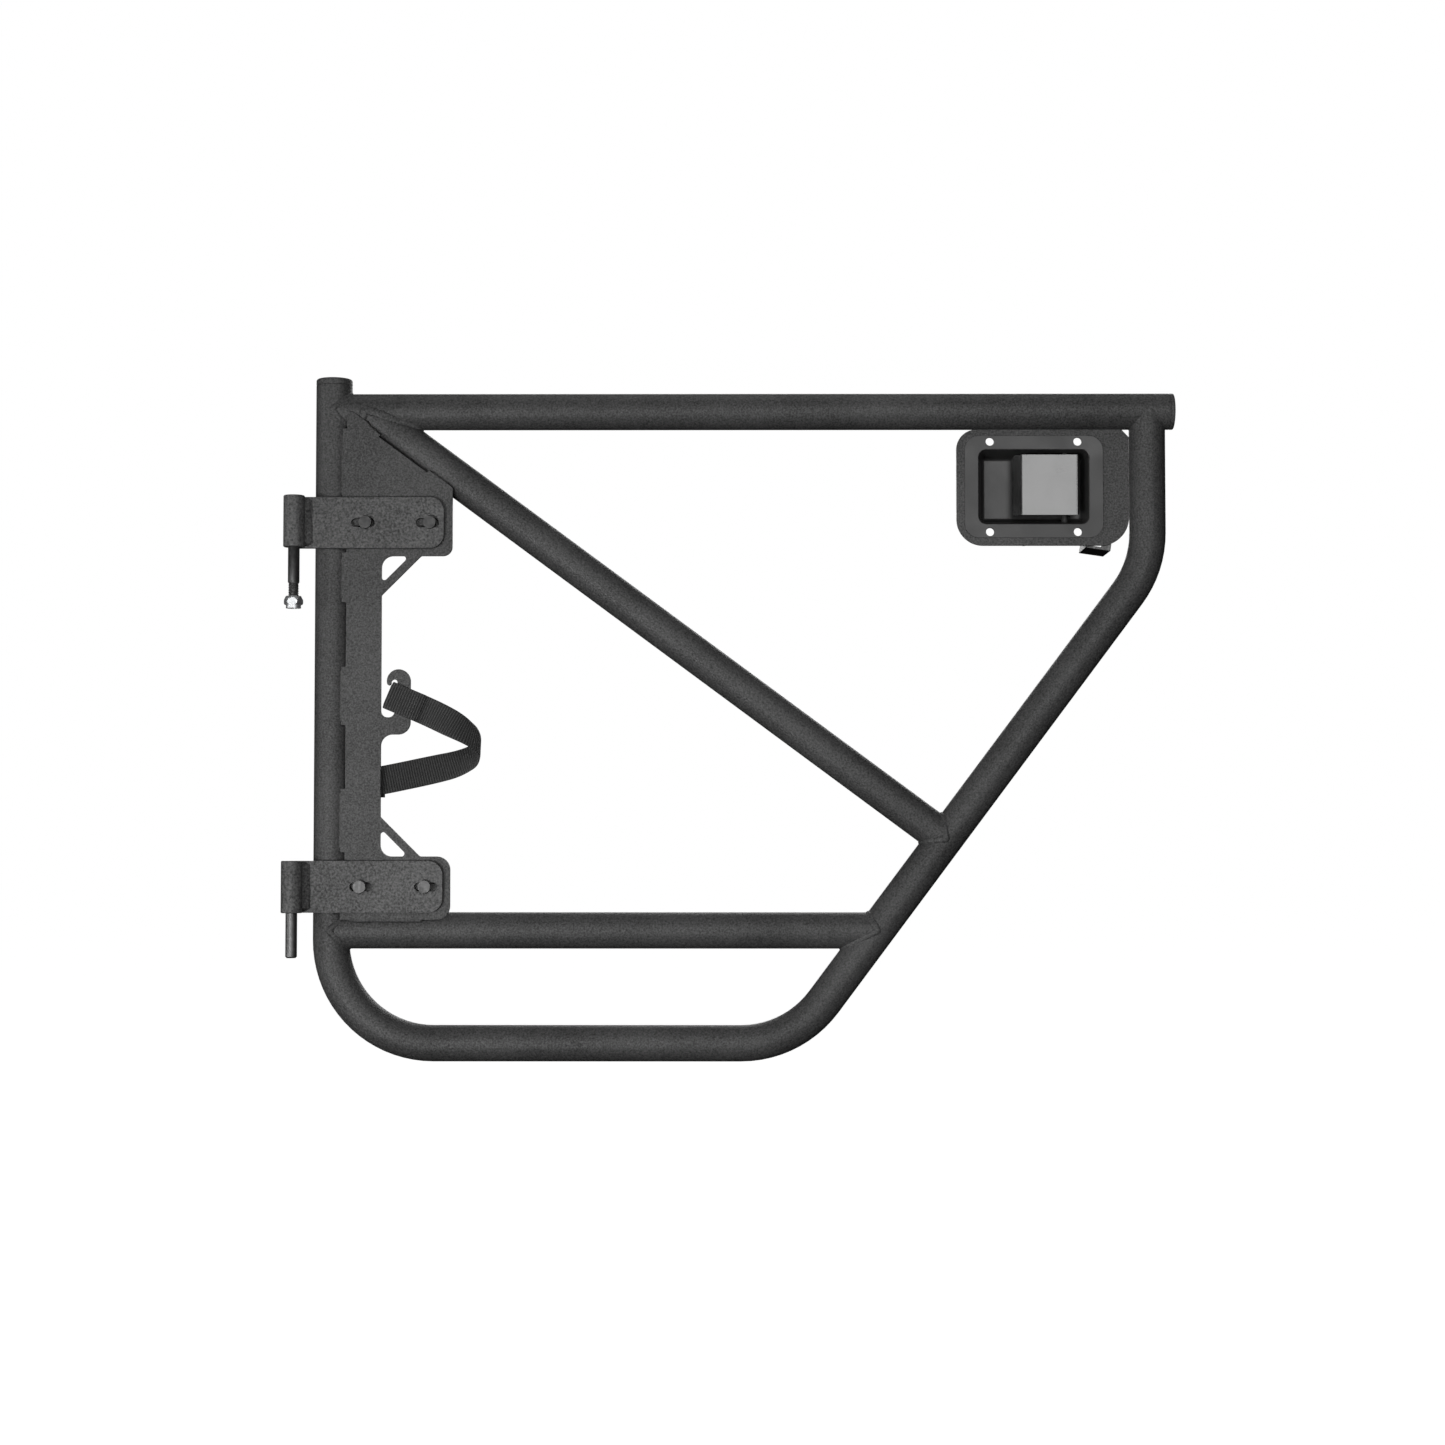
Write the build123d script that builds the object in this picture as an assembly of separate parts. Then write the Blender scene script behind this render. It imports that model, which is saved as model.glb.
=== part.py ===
from build123d import *

import math
import os

# Rear tube door for an off-road vehicle. Millimetres, +Z up, +X towards the vehicle's rear.
# The outside of the door faces -Y. The origin is on the hinge axis, at the lower knuckle's bottom.

# ---------------------------------------------------------------- driving dimensions
TUBE_OD = 38.1
TUBE_WALL = 2.4
BEND_RADIUS = 108.0
CAP_THICKNESS = 7.0
REAR_CAP_THICKNESS = 4.6

HINGE_SPACING = 381.0
KNUCKLE_RADIUS = 11.1
KNUCKLE_HEIGHT = 54.0
PIN_RADIUS = 6.0
PIN_SHANK_RADIUS = 6.5
PIN_DEPTH_IN_KNUCKLE = 44.0
LOWER_PIN_LENGTH = 46.5
UPPER_PIN_PLAIN = 38.0
THREAD_RADIUS = 5.5
THREAD_LENGTH = 24.0

ARM_THICKNESS = 6.0
ARM_FRONT_END = -6.0
ARM_REAR_END = 155.3
ARM_CORNER = 15.0
SLOT_LENGTH = 24.0
SLOT_WIDTH = 9.0
SLOT_CENTRES = (70.4, 137.9)
UPPER_BOLT_SHIFT = 2.5
LOWER_BOLT_SHIFT = -1.3

HINGE_PLATE_THICKNESS = 4.8
HINGE_PLATE_SETBACK = 15.1
BOLT_RADIUS = 4.0
BOLT_ACROSS_FLATS = 13.0
BOLT_HEAD_HEIGHT = 5.3
BOLT_HOLE_RADIUS = 4.5
HEX_CROWN_RADIUS = 7.45
HEX_CROWN_CHAMFER = 0.9
WASHER_RADIUS = 8.0
WASHER_THICKNESS = 1.6
NUT_HEIGHT = 7.5

# Heights and stations of the tube centre lines in the door's plane.
UPRIGHT_X = 36.0
UPRIGHT_TOP = 556.0
TOP_RAIL_Z = 528.2
TOP_RAIL_END = 923.3
REAR_UPRIGHT_X = 895.5
BOTTOM_Z = -137.0
LOWER_RAIL_Z = -19.1
LOWER_CORNER_X = 520.7
UPPER_CORNER_Z = 364.0
BRACE_START = (71.0, 528.2)
BRACE_SLOPE = -0.74

LATCH_X = 775.6
LATCH_Z = 448.3
LATCH_PLATE_THICKNESS = 3.2
LATCH_PLATE_FRONT = 694.0
LATCH_PLATE_BOTTOM = 386.0
DISH_SHEET = 1.6
DISH_DEPTH = 25.0
DISH_HALF_WIDTH = 58.0
DISH_HALF_HEIGHT = 39.0
DISH_DRAFT = 6.0
FLANGE_HALF_WIDTH = 73.0
FLANGE_HALF_HEIGHT = 54.0
FLANGE_HOLE_X = 46.3
FLANGE_HOLE_Z = 47.9
FLANGE_HOLE_RADIUS = 4.4

PIVOT_U = 34.0
PIVOT_V = 12.0
SHAFT_RADIUS = 4.0
SHAFT_FIT = 0.06
CRANK_REACH = 25.0
DRIVE_PIN_RADIUS = 3.0

STRAP_WIDTH = 30.0
STRAP_THICKNESS = 1.8

# ---------------------------------------------------------------- derived places
TUBE_R = TUBE_OD / 2
ARM_FRONT_Y = KNUCKLE_RADIUS
ARM_BACK_Y = ARM_FRONT_Y + ARM_THICKNESS
PLATE_BACK_Y = ARM_BACK_Y + HINGE_PLATE_THICKNESS
TUBE_Y = PLATE_BACK_Y + HINGE_PLATE_SETBACK
LATCH_Y = TUBE_Y - LATCH_PLATE_THICKNESS / 2
CONTACT_OFFSET = math.sqrt(TUBE_R**2 - HINGE_PLATE_SETBACK**2) + 0.09
BRACE_ANGLE = math.atan(BRACE_SLOPE)

os.makedirs("parts", exist_ok=True)


# ---------------------------------------------------------------- small helpers
def save(shape, name):
    """Writes one sub-part to its own STEP file."""
    export_step(shape, f"parts/{name}.step")


def outline(corners):
    """Flat face from (across, up, corner radius) triples."""
    points = [(across, up) for across, up, _ in corners]
    radii = [radius for _, _, radius in corners]
    return make_face(FilletPolyline(*points, radius=radii, close=True))


def upright_plate(face, back_y, thickness):
    """A face drawn in X and Z, as a plate whose back is at back_y and whose front is nearer -Y."""
    plane = Plane(origin=(0, back_y, 0), x_dir=(1, 0, 0), z_dir=(0, -1, 0))
    return extrude(plane * face, amount=thickness)


def flat_plate(face, bottom_z, thickness):
    """A face drawn in X and Y, as a plate from bottom_z upwards."""
    return extrude(Plane.XY.offset(bottom_z) * face, amount=thickness)


def rod(start, end, radius):
    """Round bar from one point to another."""
    along = Vector(*end) - Vector(*start)
    return extrude(Plane(origin=start, z_dir=along) * Circle(radius), amount=along.length)


def block(low, high):
    """Box between two corners."""
    size = [high[i] - low[i] for i in range(3)]
    centre = [(high[i] + low[i]) / 2 for i in range(3)]
    return Pos(*centre) * Box(*size)


def hexagon_bar(start, end, across_flats):
    """Six-sided bar from one point to another."""
    along = Vector(*end) - Vector(*start)
    face = RegularPolygon(across_flats / 2, 6, major_radius=False)
    return extrude(Plane(origin=start, z_dir=along) * face, amount=along.length)


def largest(shape):
    """The largest solid of a cut shape."""
    return max(shape.solids(), key=lambda solid: solid.volume)


def pipe(path, outer):
    """Filled round bar of the outer radius along a path."""
    return sweep(Plane(origin=path @ 0, z_dir=path % 0) * Circle(outer), path=path)


def hollow(path):
    """Round tube along a path."""
    ring = Circle(TUBE_R) - Circle(TUBE_R - TUBE_WALL)
    return sweep(Plane(origin=path @ 0, z_dir=path % 0) * ring, path=path)


# ---------------------------------------------------------------- tube frame
hoop_path = FilletPolyline(
    (UPRIGHT_X, TUBE_Y, UPRIGHT_TOP),
    (UPRIGHT_X, TUBE_Y, BOTTOM_Z),
    (LOWER_CORNER_X, TUBE_Y, BOTTOM_Z),
    (REAR_UPRIGHT_X, TUBE_Y, UPPER_CORNER_Z),
    (REAR_UPRIGHT_X, TUBE_Y, TOP_RAIL_Z),
    radius=BEND_RADIUS,
)
slant_slope = (UPPER_CORNER_Z - BOTTOM_Z) / (REAR_UPRIGHT_X - LOWER_CORNER_X)
lower_rail_end = LOWER_CORNER_X + (LOWER_RAIL_Z - BOTTOM_Z) / slant_slope

# The brace meets the slanted run where the two centre lines cross.
brace_end_x = (
    BRACE_START[1] - BOTTOM_Z - BRACE_SLOPE * BRACE_START[0] + slant_slope * LOWER_CORNER_X
) / (slant_slope - BRACE_SLOPE)
brace_end_z = BRACE_START[1] + BRACE_SLOPE * (brace_end_x - BRACE_START[0])
BRACE_OVERRUN = 30.0
brace_top = (
    BRACE_START[0] - BRACE_OVERRUN * math.cos(BRACE_ANGLE),
    TUBE_Y,
    BRACE_START[1] - BRACE_OVERRUN * math.sin(BRACE_ANGLE),
)

rear_cap_base = (TOP_RAIL_END - REAR_CAP_THICKNESS, TUBE_Y, TOP_RAIL_Z)
top_rail_path = Line((UPRIGHT_X, TUBE_Y, TOP_RAIL_Z), rear_cap_base)
lower_rail_path = Line((UPRIGHT_X, TUBE_Y, LOWER_RAIL_Z), (lower_rail_end, TUBE_Y, LOWER_RAIL_Z))
brace_path = Line(brace_top, (brace_end_x, TUBE_Y, brace_end_z))

hoop_bar = pipe(hoop_path, TUBE_R)
upright_bar = rod((UPRIGHT_X, TUBE_Y, 0), (UPRIGHT_X, TUBE_Y, UPRIGHT_TOP), TUBE_R)
top_rail_bar = pipe(top_rail_path, TUBE_R)

save(largest(hollow(hoop_path) - top_rail_bar), "hoop_tube")
save(largest(hollow(top_rail_path) - upright_bar), "top_rail")
save(largest(hollow(lower_rail_path) - hoop_bar), "lower_rail")
save(largest(hollow(brace_path) - hoop_bar - top_rail_bar), "diagonal_brace")


def tube_cap(base, axis, thickness, edge_radius):
    """Disc that closes a tube's end, with its outer edge rounded."""
    end = Vector(*base) + axis.direction * thickness
    disc = rod(base, tuple(end), TUBE_R)
    return fillet(disc.edges().filter_by(GeomType.CIRCLE).sort_by(axis)[-1], edge_radius)


save(tube_cap((UPRIGHT_X, TUBE_Y, UPRIGHT_TOP), Axis.Z, CAP_THICKNESS, 2.5), "front_tube_cap")
save(tube_cap(rear_cap_base, Axis.X, REAR_CAP_THICKNESS, 1.5), "rear_tube_cap")

# ---------------------------------------------------------------- hinge plate
plate_left = UPRIGHT_X + CONTACT_OFFSET
plate_top = TOP_RAIL_Z - CONTACT_OFFSET
plate_bottom = LOWER_RAIL_Z + CONTACT_OFFSET + 0.1
STRIP_RIGHT = 89.4
BLOCK_RIGHT = 163.5
LOWER_BLOCK_TOP = 58.5
UPPER_BLOCK_BOTTOM = 373.5
GUSSET_REACH = 41.4
GUSSET_WIDTH = 8.3
WELD_NOTCH_DEPTH = 4.7
WELD_NOTCHES = ((377.0, 432.0), (257.0, 325.0), (129.0, 196.0), (2.0, 63.0))
TOP_NOTCH_BOTTOM = 508.0
SLANT_NOTCH = (87.5, 138.4)
SLANT_NOTCH_DEPTH = 3.0

FINGER_LEFT = 103.6
FINGER_RIGHT = 120.3
FINGER_ROOT_Z = 204.0
TONGUE_BOTTOM_Z = 186.0
HOOK_CENTRE = (107.9, 242.0)
HOOK_RADIUS = 12.4
HOOK_EYE = (103.4, 240.4)
HOOK_EYE_RADIUS = 3.3
HOOK_TIP = (97.95, 239.6)
HOOK_TIP_RADIUS = 2.1


def along_slant(x):
    """Height of the plate's slanted edge, which touches the brace, at a station."""
    drop = CONTACT_OFFSET / math.cos(BRACE_ANGLE)
    return BRACE_START[1] + BRACE_SLOPE * (x - BRACE_START[0]) - drop


def slant_notch_corner(x):
    """Point set back square from the slanted edge by the notch's depth."""
    back_x = SLANT_NOTCH_DEPTH * math.sin(BRACE_ANGLE)
    back_z = -SLANT_NOTCH_DEPTH * math.cos(BRACE_ANGLE)
    return (x + back_x, along_slant(x) + back_z, 0)


def gusset_window(corner_z, rise):
    """Triangular window between the strip, a block's edge and the gusset's strut."""
    reach = GUSSET_REACH - GUSSET_WIDTH * math.sqrt(2)
    return outline(
        [
            (STRIP_RIGHT, corner_z, 12.0),
            (STRIP_RIGHT + reach, corner_z, 3),
            (STRIP_RIGHT, corner_z + rise * reach, 3),
        ]
    )


def hinge_plate_face():
    """Outline of the hinge plate, anticlockwise from its lower front corner."""
    notch_x = plate_left + WELD_NOTCH_DEPTH
    apex_x = BRACE_START[0] + (along_slant(BRACE_START[0]) - plate_top) / -BRACE_SLOPE
    corners = [
        (plate_left, plate_bottom, 0),
        (BLOCK_RIGHT - 1, plate_bottom, 14),
        (BLOCK_RIGHT - 1, LOWER_BLOCK_TOP, 14),
        (STRIP_RIGHT + GUSSET_REACH, LOWER_BLOCK_TOP, 3),
        (STRIP_RIGHT, LOWER_BLOCK_TOP + GUSSET_REACH, 3),
        (STRIP_RIGHT, TONGUE_BOTTOM_Z, 12),
        (FINGER_RIGHT, TONGUE_BOTTOM_Z, 13),
        (FINGER_RIGHT, HOOK_CENTRE[1], 0),
        (FINGER_LEFT, HOOK_CENTRE[1], 0),
        (FINGER_LEFT, FINGER_ROOT_Z, 6),
        (STRIP_RIGHT, FINGER_ROOT_Z, 7),
        (STRIP_RIGHT, UPPER_BLOCK_BOTTOM - GUSSET_REACH, 3),
        (STRIP_RIGHT + GUSSET_REACH, UPPER_BLOCK_BOTTOM, 3),
        (BLOCK_RIGHT, UPPER_BLOCK_BOTTOM, 10),
        (BLOCK_RIGHT, along_slant(BLOCK_RIGHT), 2),
        (SLANT_NOTCH[1], along_slant(SLANT_NOTCH[1]), 0),
        slant_notch_corner(SLANT_NOTCH[1]),
        slant_notch_corner(SLANT_NOTCH[0]),
        (SLANT_NOTCH[0], along_slant(SLANT_NOTCH[0]), 0),
        (apex_x, plate_top, 2),
        (notch_x, plate_top, 4),
        (notch_x, TOP_NOTCH_BOTTOM, 0),
        (plate_left, TOP_NOTCH_BOTTOM, 0),
    ]
    for low, high in WELD_NOTCHES:
        corners += [(plate_left, high, 0), (notch_x, high, 1.5), (notch_x, low, 1.5), (plate_left, low, 0)]
    face = outline(corners)
    face = face - gusset_window(LOWER_BLOCK_TOP, 1) - gusset_window(UPPER_BLOCK_BOTTOM, -1)
    eye_left = HOOK_EYE[0] - HOOK_EYE_RADIUS
    mouth = outline(
        [
            (STRIP_RIGHT + 0.5, FINGER_ROOT_Z + 8, 0),
            (FINGER_LEFT, FINGER_ROOT_Z + 8, 0),
            (FINGER_LEFT, HOOK_EYE[1], 0),
            (eye_left, HOOK_EYE[1], 0),
            (eye_left, HOOK_TIP[1], 0),
            (STRIP_RIGHT + 0.5, HOOK_TIP[1], 0),
        ]
    )
    curl = Pos(*HOOK_CENTRE) * Circle(HOOK_RADIUS) - mouth
    face = face + curl + Pos(*HOOK_TIP) * Circle(HOOK_TIP_RADIUS)
    face = face - Pos(*HOOK_EYE) * Circle(HOOK_EYE_RADIUS)
    for x, z in hinge_bolt_places():
        face = face - Pos(x, z) * Circle(BOLT_HOLE_RADIUS)
    return face


def hinge_bolt_places():
    """Stations and heights of the four hinge bolts."""
    middle = KNUCKLE_HEIGHT / 2
    lower = [(x + LOWER_BOLT_SHIFT, middle) for x in SLOT_CENTRES]
    upper = [(x + UPPER_BOLT_SHIFT, HINGE_SPACING + middle) for x in SLOT_CENTRES]
    return lower + upper


save(upright_plate(hinge_plate_face(), PLATE_BACK_Y, HINGE_PLATE_THICKNESS), "hinge_plate")


# ---------------------------------------------------------------- hinge arms, knuckles and pins
def hinge_arm(base_z):
    """Flat bar with two long slots, standing on base_z."""
    top_z = base_z + KNUCKLE_HEIGHT
    face = outline(
        [
            (ARM_FRONT_END, base_z, 2),
            (ARM_REAR_END, base_z, ARM_CORNER),
            (ARM_REAR_END, top_z, ARM_CORNER),
            (ARM_FRONT_END, top_z, 2),
        ]
    )
    for x in SLOT_CENTRES:
        face = face - Pos(x, base_z + KNUCKLE_HEIGHT / 2) * SlotOverall(SLOT_LENGTH, SLOT_WIDTH)
    return upright_plate(face, ARM_BACK_Y, ARM_THICKNESS)


def knuckle(base_z):
    """Round block that holds the hinge pin's shank in a blind bore."""
    bar = rod((0, 0, base_z), (0, 0, base_z + KNUCKLE_HEIGHT), KNUCKLE_RADIUS)
    bar = chamfer(bar.edges().filter_by(GeomType.CIRCLE), 0.8)
    return bar - rod((0, 0, base_z - 1), (0, 0, base_z + PIN_DEPTH_IN_KNUCKLE), PIN_SHANK_RADIUS)


def pin_shank(base_z):
    """Thicker end of a pin, pressed into its knuckle."""
    return rod((0, 0, base_z), (0, 0, base_z + PIN_DEPTH_IN_KNUCKLE), PIN_SHANK_RADIUS)


def lower_pin():
    """Plain pin with a chamfered tip."""
    pin = rod((0, 0, -LOWER_PIN_LENGTH), (0, 0, 0), PIN_RADIUS)
    tip = pin.edges().filter_by(GeomType.CIRCLE).sort_by(Axis.Z)[0]
    return chamfer(tip, 1.5) + pin_shank(0)


def upper_pin():
    """Pin with a plain seat and a threaded lower end."""
    plain_bottom = HINGE_SPACING - UPPER_PIN_PLAIN
    thread_bottom = plain_bottom - THREAD_LENGTH
    plain = rod((0, 0, plain_bottom), (0, 0, HINGE_SPACING), PIN_RADIUS)
    plain = chamfer(plain.edges().filter_by(GeomType.CIRCLE).sort_by(Axis.Z)[0], 0.4)
    thread = rod((0, 0, thread_bottom), (0, 0, plain_bottom), THREAD_RADIUS)
    thread = chamfer(thread.edges().filter_by(GeomType.CIRCLE).sort_by(Axis.Z)[0], 1.0)
    return plain + thread + pin_shank(HINGE_SPACING)


for name, height in (("lower", 0.0), ("upper", HINGE_SPACING)):
    save(hinge_arm(height), f"{name}_hinge_arm")
    save(knuckle(height), f"{name}_knuckle")
save(lower_pin(), "lower_hinge_pin")
save(upper_pin(), "upper_hinge_pin")

# ---------------------------------------------------------------- lock nut on the upper pin
LOCK_NUT_ACROSS_FLATS = 17.5
LOCK_NUT_HEX = 9.0
LOCK_NUT_WAIST = 3.0
LOCK_NUT_WAIST_RADIUS = 10.9
LOCK_NUT_TOP_RADIUS = 8.0
LOCK_NUT_BASE_RADIUS = 9.2
LOCK_NUT_COLLAR = 3.6
LOCK_NUT_COLLAR_RADIUS = 7.8
INSERT_RADIUS = 6.7
INSERT_HEIGHT = 2.6
INSERT_LIP = 0.5
THREAD_FIT = 0.05
THREAD_SHOWN = 13.4
BASE_DOWN = (Align.CENTER, Align.CENTER, Align.MIN)


def pin_sleeve(bottom, top, outer):
    """Ring round the upper pin's thread."""
    return rod((0, 0, bottom), (0, 0, top), outer) - rod(
        (0, 0, bottom - 1), (0, 0, top + 1), THREAD_RADIUS + THREAD_FIT
    )


def pin_lock_nut():
    """Hexagon with coned ends over a round collar, which has a groove for the insert."""
    mid = lock_nut_bottom + LOCK_NUT_COLLAR
    waist = mid + LOCK_NUT_WAIST
    body = hexagon_bar((0, 0, mid), (0, 0, lock_nut_top), LOCK_NUT_ACROSS_FLATS)
    upper = Cone(LOCK_NUT_WAIST_RADIUS, LOCK_NUT_TOP_RADIUS, LOCK_NUT_HEX - LOCK_NUT_WAIST, align=BASE_DOWN)
    lower = Cone(LOCK_NUT_BASE_RADIUS, LOCK_NUT_WAIST_RADIUS, LOCK_NUT_WAIST, align=BASE_DOWN)
    body = body & (Pos(0, 0, waist) * upper + Pos(0, 0, mid) * lower)
    body = body + rod((0, 0, lock_nut_bottom), (0, 0, mid), LOCK_NUT_COLLAR_RADIUS)
    bore = rod((0, 0, lock_nut_bottom - 1), (0, 0, lock_nut_top + 1), THREAD_RADIUS + THREAD_FIT)
    groove = rod((0, 0, insert_bottom), (0, 0, insert_bottom + INSERT_HEIGHT), INSERT_RADIUS)
    return body - bore - groove


lock_nut_top = HINGE_SPACING - UPPER_PIN_PLAIN - THREAD_SHOWN
lock_nut_bottom = lock_nut_top - LOCK_NUT_HEX - LOCK_NUT_COLLAR
insert_bottom = lock_nut_bottom + INSERT_LIP
save(pin_lock_nut(), "pin_lock_nut")
save(pin_sleeve(insert_bottom, insert_bottom + INSERT_HEIGHT, INSERT_RADIUS), "pin_nut_insert")


# ---------------------------------------------------------------- hinge bolts, washers and nuts
def hinge_bolt(x, z):
    """Hex bolt whose head bears on the arm's outer face."""
    nut_back = PLATE_BACK_Y + WASHER_THICKNESS + NUT_HEIGHT
    head = hexagon_bar((x, ARM_FRONT_Y, z), (x, ARM_FRONT_Y - BOLT_HEAD_HEIGHT, z), BOLT_ACROSS_FLATS)
    crown = rod((x, ARM_FRONT_Y + 1, z), (x, ARM_FRONT_Y - BOLT_HEAD_HEIGHT, z), HEX_CROWN_RADIUS)
    crown = chamfer(crown.edges().filter_by(GeomType.CIRCLE).sort_by(Axis.Y)[0], HEX_CROWN_CHAMFER)
    shank = rod((x, ARM_FRONT_Y - 1, z), (x, nut_back + 3, z), BOLT_RADIUS)
    shank = chamfer(shank.edges().filter_by(GeomType.CIRCLE).sort_by(Axis.Y)[-1], 0.8)
    return (head & crown) + shank


def hinge_washer(x, z):
    """Flat washer behind the hinge plate."""
    back = PLATE_BACK_Y + WASHER_THICKNESS
    disc = rod((x, PLATE_BACK_Y, z), (x, back, z), WASHER_RADIUS)
    return disc - rod((x, PLATE_BACK_Y - 1, z), (x, back + 1, z), BOLT_RADIUS)


def hinge_nut(x, z):
    """Hex nut behind the washer."""
    front = PLATE_BACK_Y + WASHER_THICKNESS
    back = front + NUT_HEIGHT
    body = hexagon_bar((x, front, z), (x, back, z), BOLT_ACROSS_FLATS)
    crown = rod((x, front, z), (x, back, z), HEX_CROWN_RADIUS)
    crown = chamfer(crown.edges().filter_by(GeomType.CIRCLE).sort_by(Axis.Y)[-1], HEX_CROWN_CHAMFER)
    return (body & crown) - rod((x, front - 1, z), (x, back + 1, z), BOLT_RADIUS)


save(Compound([hinge_bolt(x, z).solid() for x, z in hinge_bolt_places()]), "hinge_bolts")
save(Compound([hinge_washer(x, z).solid() for x, z in hinge_bolt_places()]), "hinge_washers")
save(Compound([hinge_nut(x, z).solid() for x, z in hinge_bolt_places()]), "hinge_nuts")

# ---------------------------------------------------------------- latch plate
latch_place = Pos(LATCH_X, LATCH_Y, LATCH_Z)
# Latch features are drawn about the latch's centre: u across, v backwards from the plate's front, w up.
PLATE_TOP_W = TOP_RAIL_Z - TUBE_R - LATCH_Z
PLATE_REAR_U = REAR_UPRIGHT_X - TUBE_R - LATCH_X
PLATE_FRONT_U = LATCH_PLATE_FRONT - LATCH_X
PLATE_BOTTOM_W = LATCH_PLATE_BOTTOM - LATCH_Z
CUTOUT_CLEARANCE = 0.9


def rounded_rectangle(half_width, half_height, radius):
    """Face centred on the latch."""
    return RectangleRounded(2 * half_width, 2 * half_height, radius)


def latch_plate():
    """Corner plate between the top rail and the rear upright, with the latch's cut-out."""
    face = outline(
        [
            (PLATE_FRONT_U, PLATE_BOTTOM_W, 28),
            (PLATE_REAR_U - 0.4, PLATE_BOTTOM_W, 30),
            (PLATE_REAR_U - 0.4, PLATE_TOP_W - 8, 0),
            (PLATE_REAR_U - 8, PLATE_TOP_W, 0),
            (PLATE_FRONT_U, PLATE_TOP_W, 21),
        ]
    )
    cutout_half_width = DISH_HALF_WIDTH + DISH_SHEET + CUTOUT_CLEARANCE
    cutout_half_height = DISH_HALF_HEIGHT + DISH_SHEET + CUTOUT_CLEARANCE
    face = face - rounded_rectangle(cutout_half_width, cutout_half_height, 10)
    for u in (-FLANGE_HOLE_X, FLANGE_HOLE_X):
        for w in (-FLANGE_HOLE_Z, FLANGE_HOLE_Z):
            face = face - Pos(u, w) * Circle(FLANGE_HOLE_RADIUS)
    return latch_place * upright_plate(face, LATCH_PLATE_THICKNESS, LATCH_PLATE_THICKNESS)


save(largest(latch_plate() - hoop_bar), "latch_plate")


# ---------------------------------------------------------------- latch dish
def drafted_block(half_width, half_height, radius, depth, draft_depth):
    """Block that starts at the plate's front and narrows towards the back."""
    plane = Plane(origin=(0, 0, 0), x_dir=(1, 0, 0), z_dir=(0, 1, 0))
    angle = math.degrees(math.atan(DISH_DRAFT / draft_depth))
    return extrude(plane * rounded_rectangle(half_width, half_height, radius), amount=depth, taper=angle)


def on_dish_rim(point):
    """Whether a point of the flange's front lies on the edge of the finger recess."""
    return abs(point.X) < DISH_HALF_WIDTH + 1 and abs(point.Z) < DISH_HALF_HEIGHT + 1


def latch_dish():
    """Pressed pan: a flange on the plate's front and a drafted recess behind it."""
    flange_face = rounded_rectangle(FLANGE_HALF_WIDTH, FLANGE_HALF_HEIGHT, 15)
    for u in (-FLANGE_HOLE_X, FLANGE_HOLE_X):
        for w in (-FLANGE_HOLE_Z, FLANGE_HOLE_Z):
            flange_face = flange_face - Pos(u, w) * Circle(FLANGE_HOLE_RADIUS)
    flange = upright_plate(flange_face, 0, DISH_SHEET)
    outer = drafted_block(
        DISH_HALF_WIDTH + DISH_SHEET, DISH_HALF_HEIGHT + DISH_SHEET, 9.6, DISH_DEPTH + DISH_SHEET, DISH_DEPTH
    )
    recess = drafted_block(DISH_HALF_WIDTH, DISH_HALF_HEIGHT, 8, DISH_DEPTH, DISH_DEPTH)
    floor_edges = recess.edges().group_by(Axis.Y)[-1]
    recess = fillet(floor_edges, 3.5)
    mouth = upright_plate(rounded_rectangle(DISH_HALF_WIDTH, DISH_HALF_HEIGHT, 8), 0, DISH_SHEET)
    dish = flange + outer - recess - mouth
    front_edges = dish.edges().group_by(Axis.Y)[0]
    rim = [edge for edge in front_edges if on_dish_rim(edge.center())]
    dish = fillet(rim, 1.2)
    bore = rod((PIVOT_U, PIVOT_V, -60), (PIVOT_U, PIVOT_V, 60), SHAFT_RADIUS + SHAFT_FIT)
    return latch_place * (dish - bore)


save(latch_dish(), "latch_dish")

# ---------------------------------------------------------------- paddle handle and its shaft
PADDLE_TOP = 34.4
PADDLE_BOTTOM = -30.0
PADDLE_RIGHT = 48.2
LIP_BEND = -12.5
LIP_END = -22.0
LIP_END_V = 9.0
PADDLE_FRONT_V = -0.6
PADDLE_THICKNESS = 3.0
EAR_RADIUS = 7.0
EAR_THICKNESS = 3.5
EAR_FACES = (27.0, -26.5)


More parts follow.
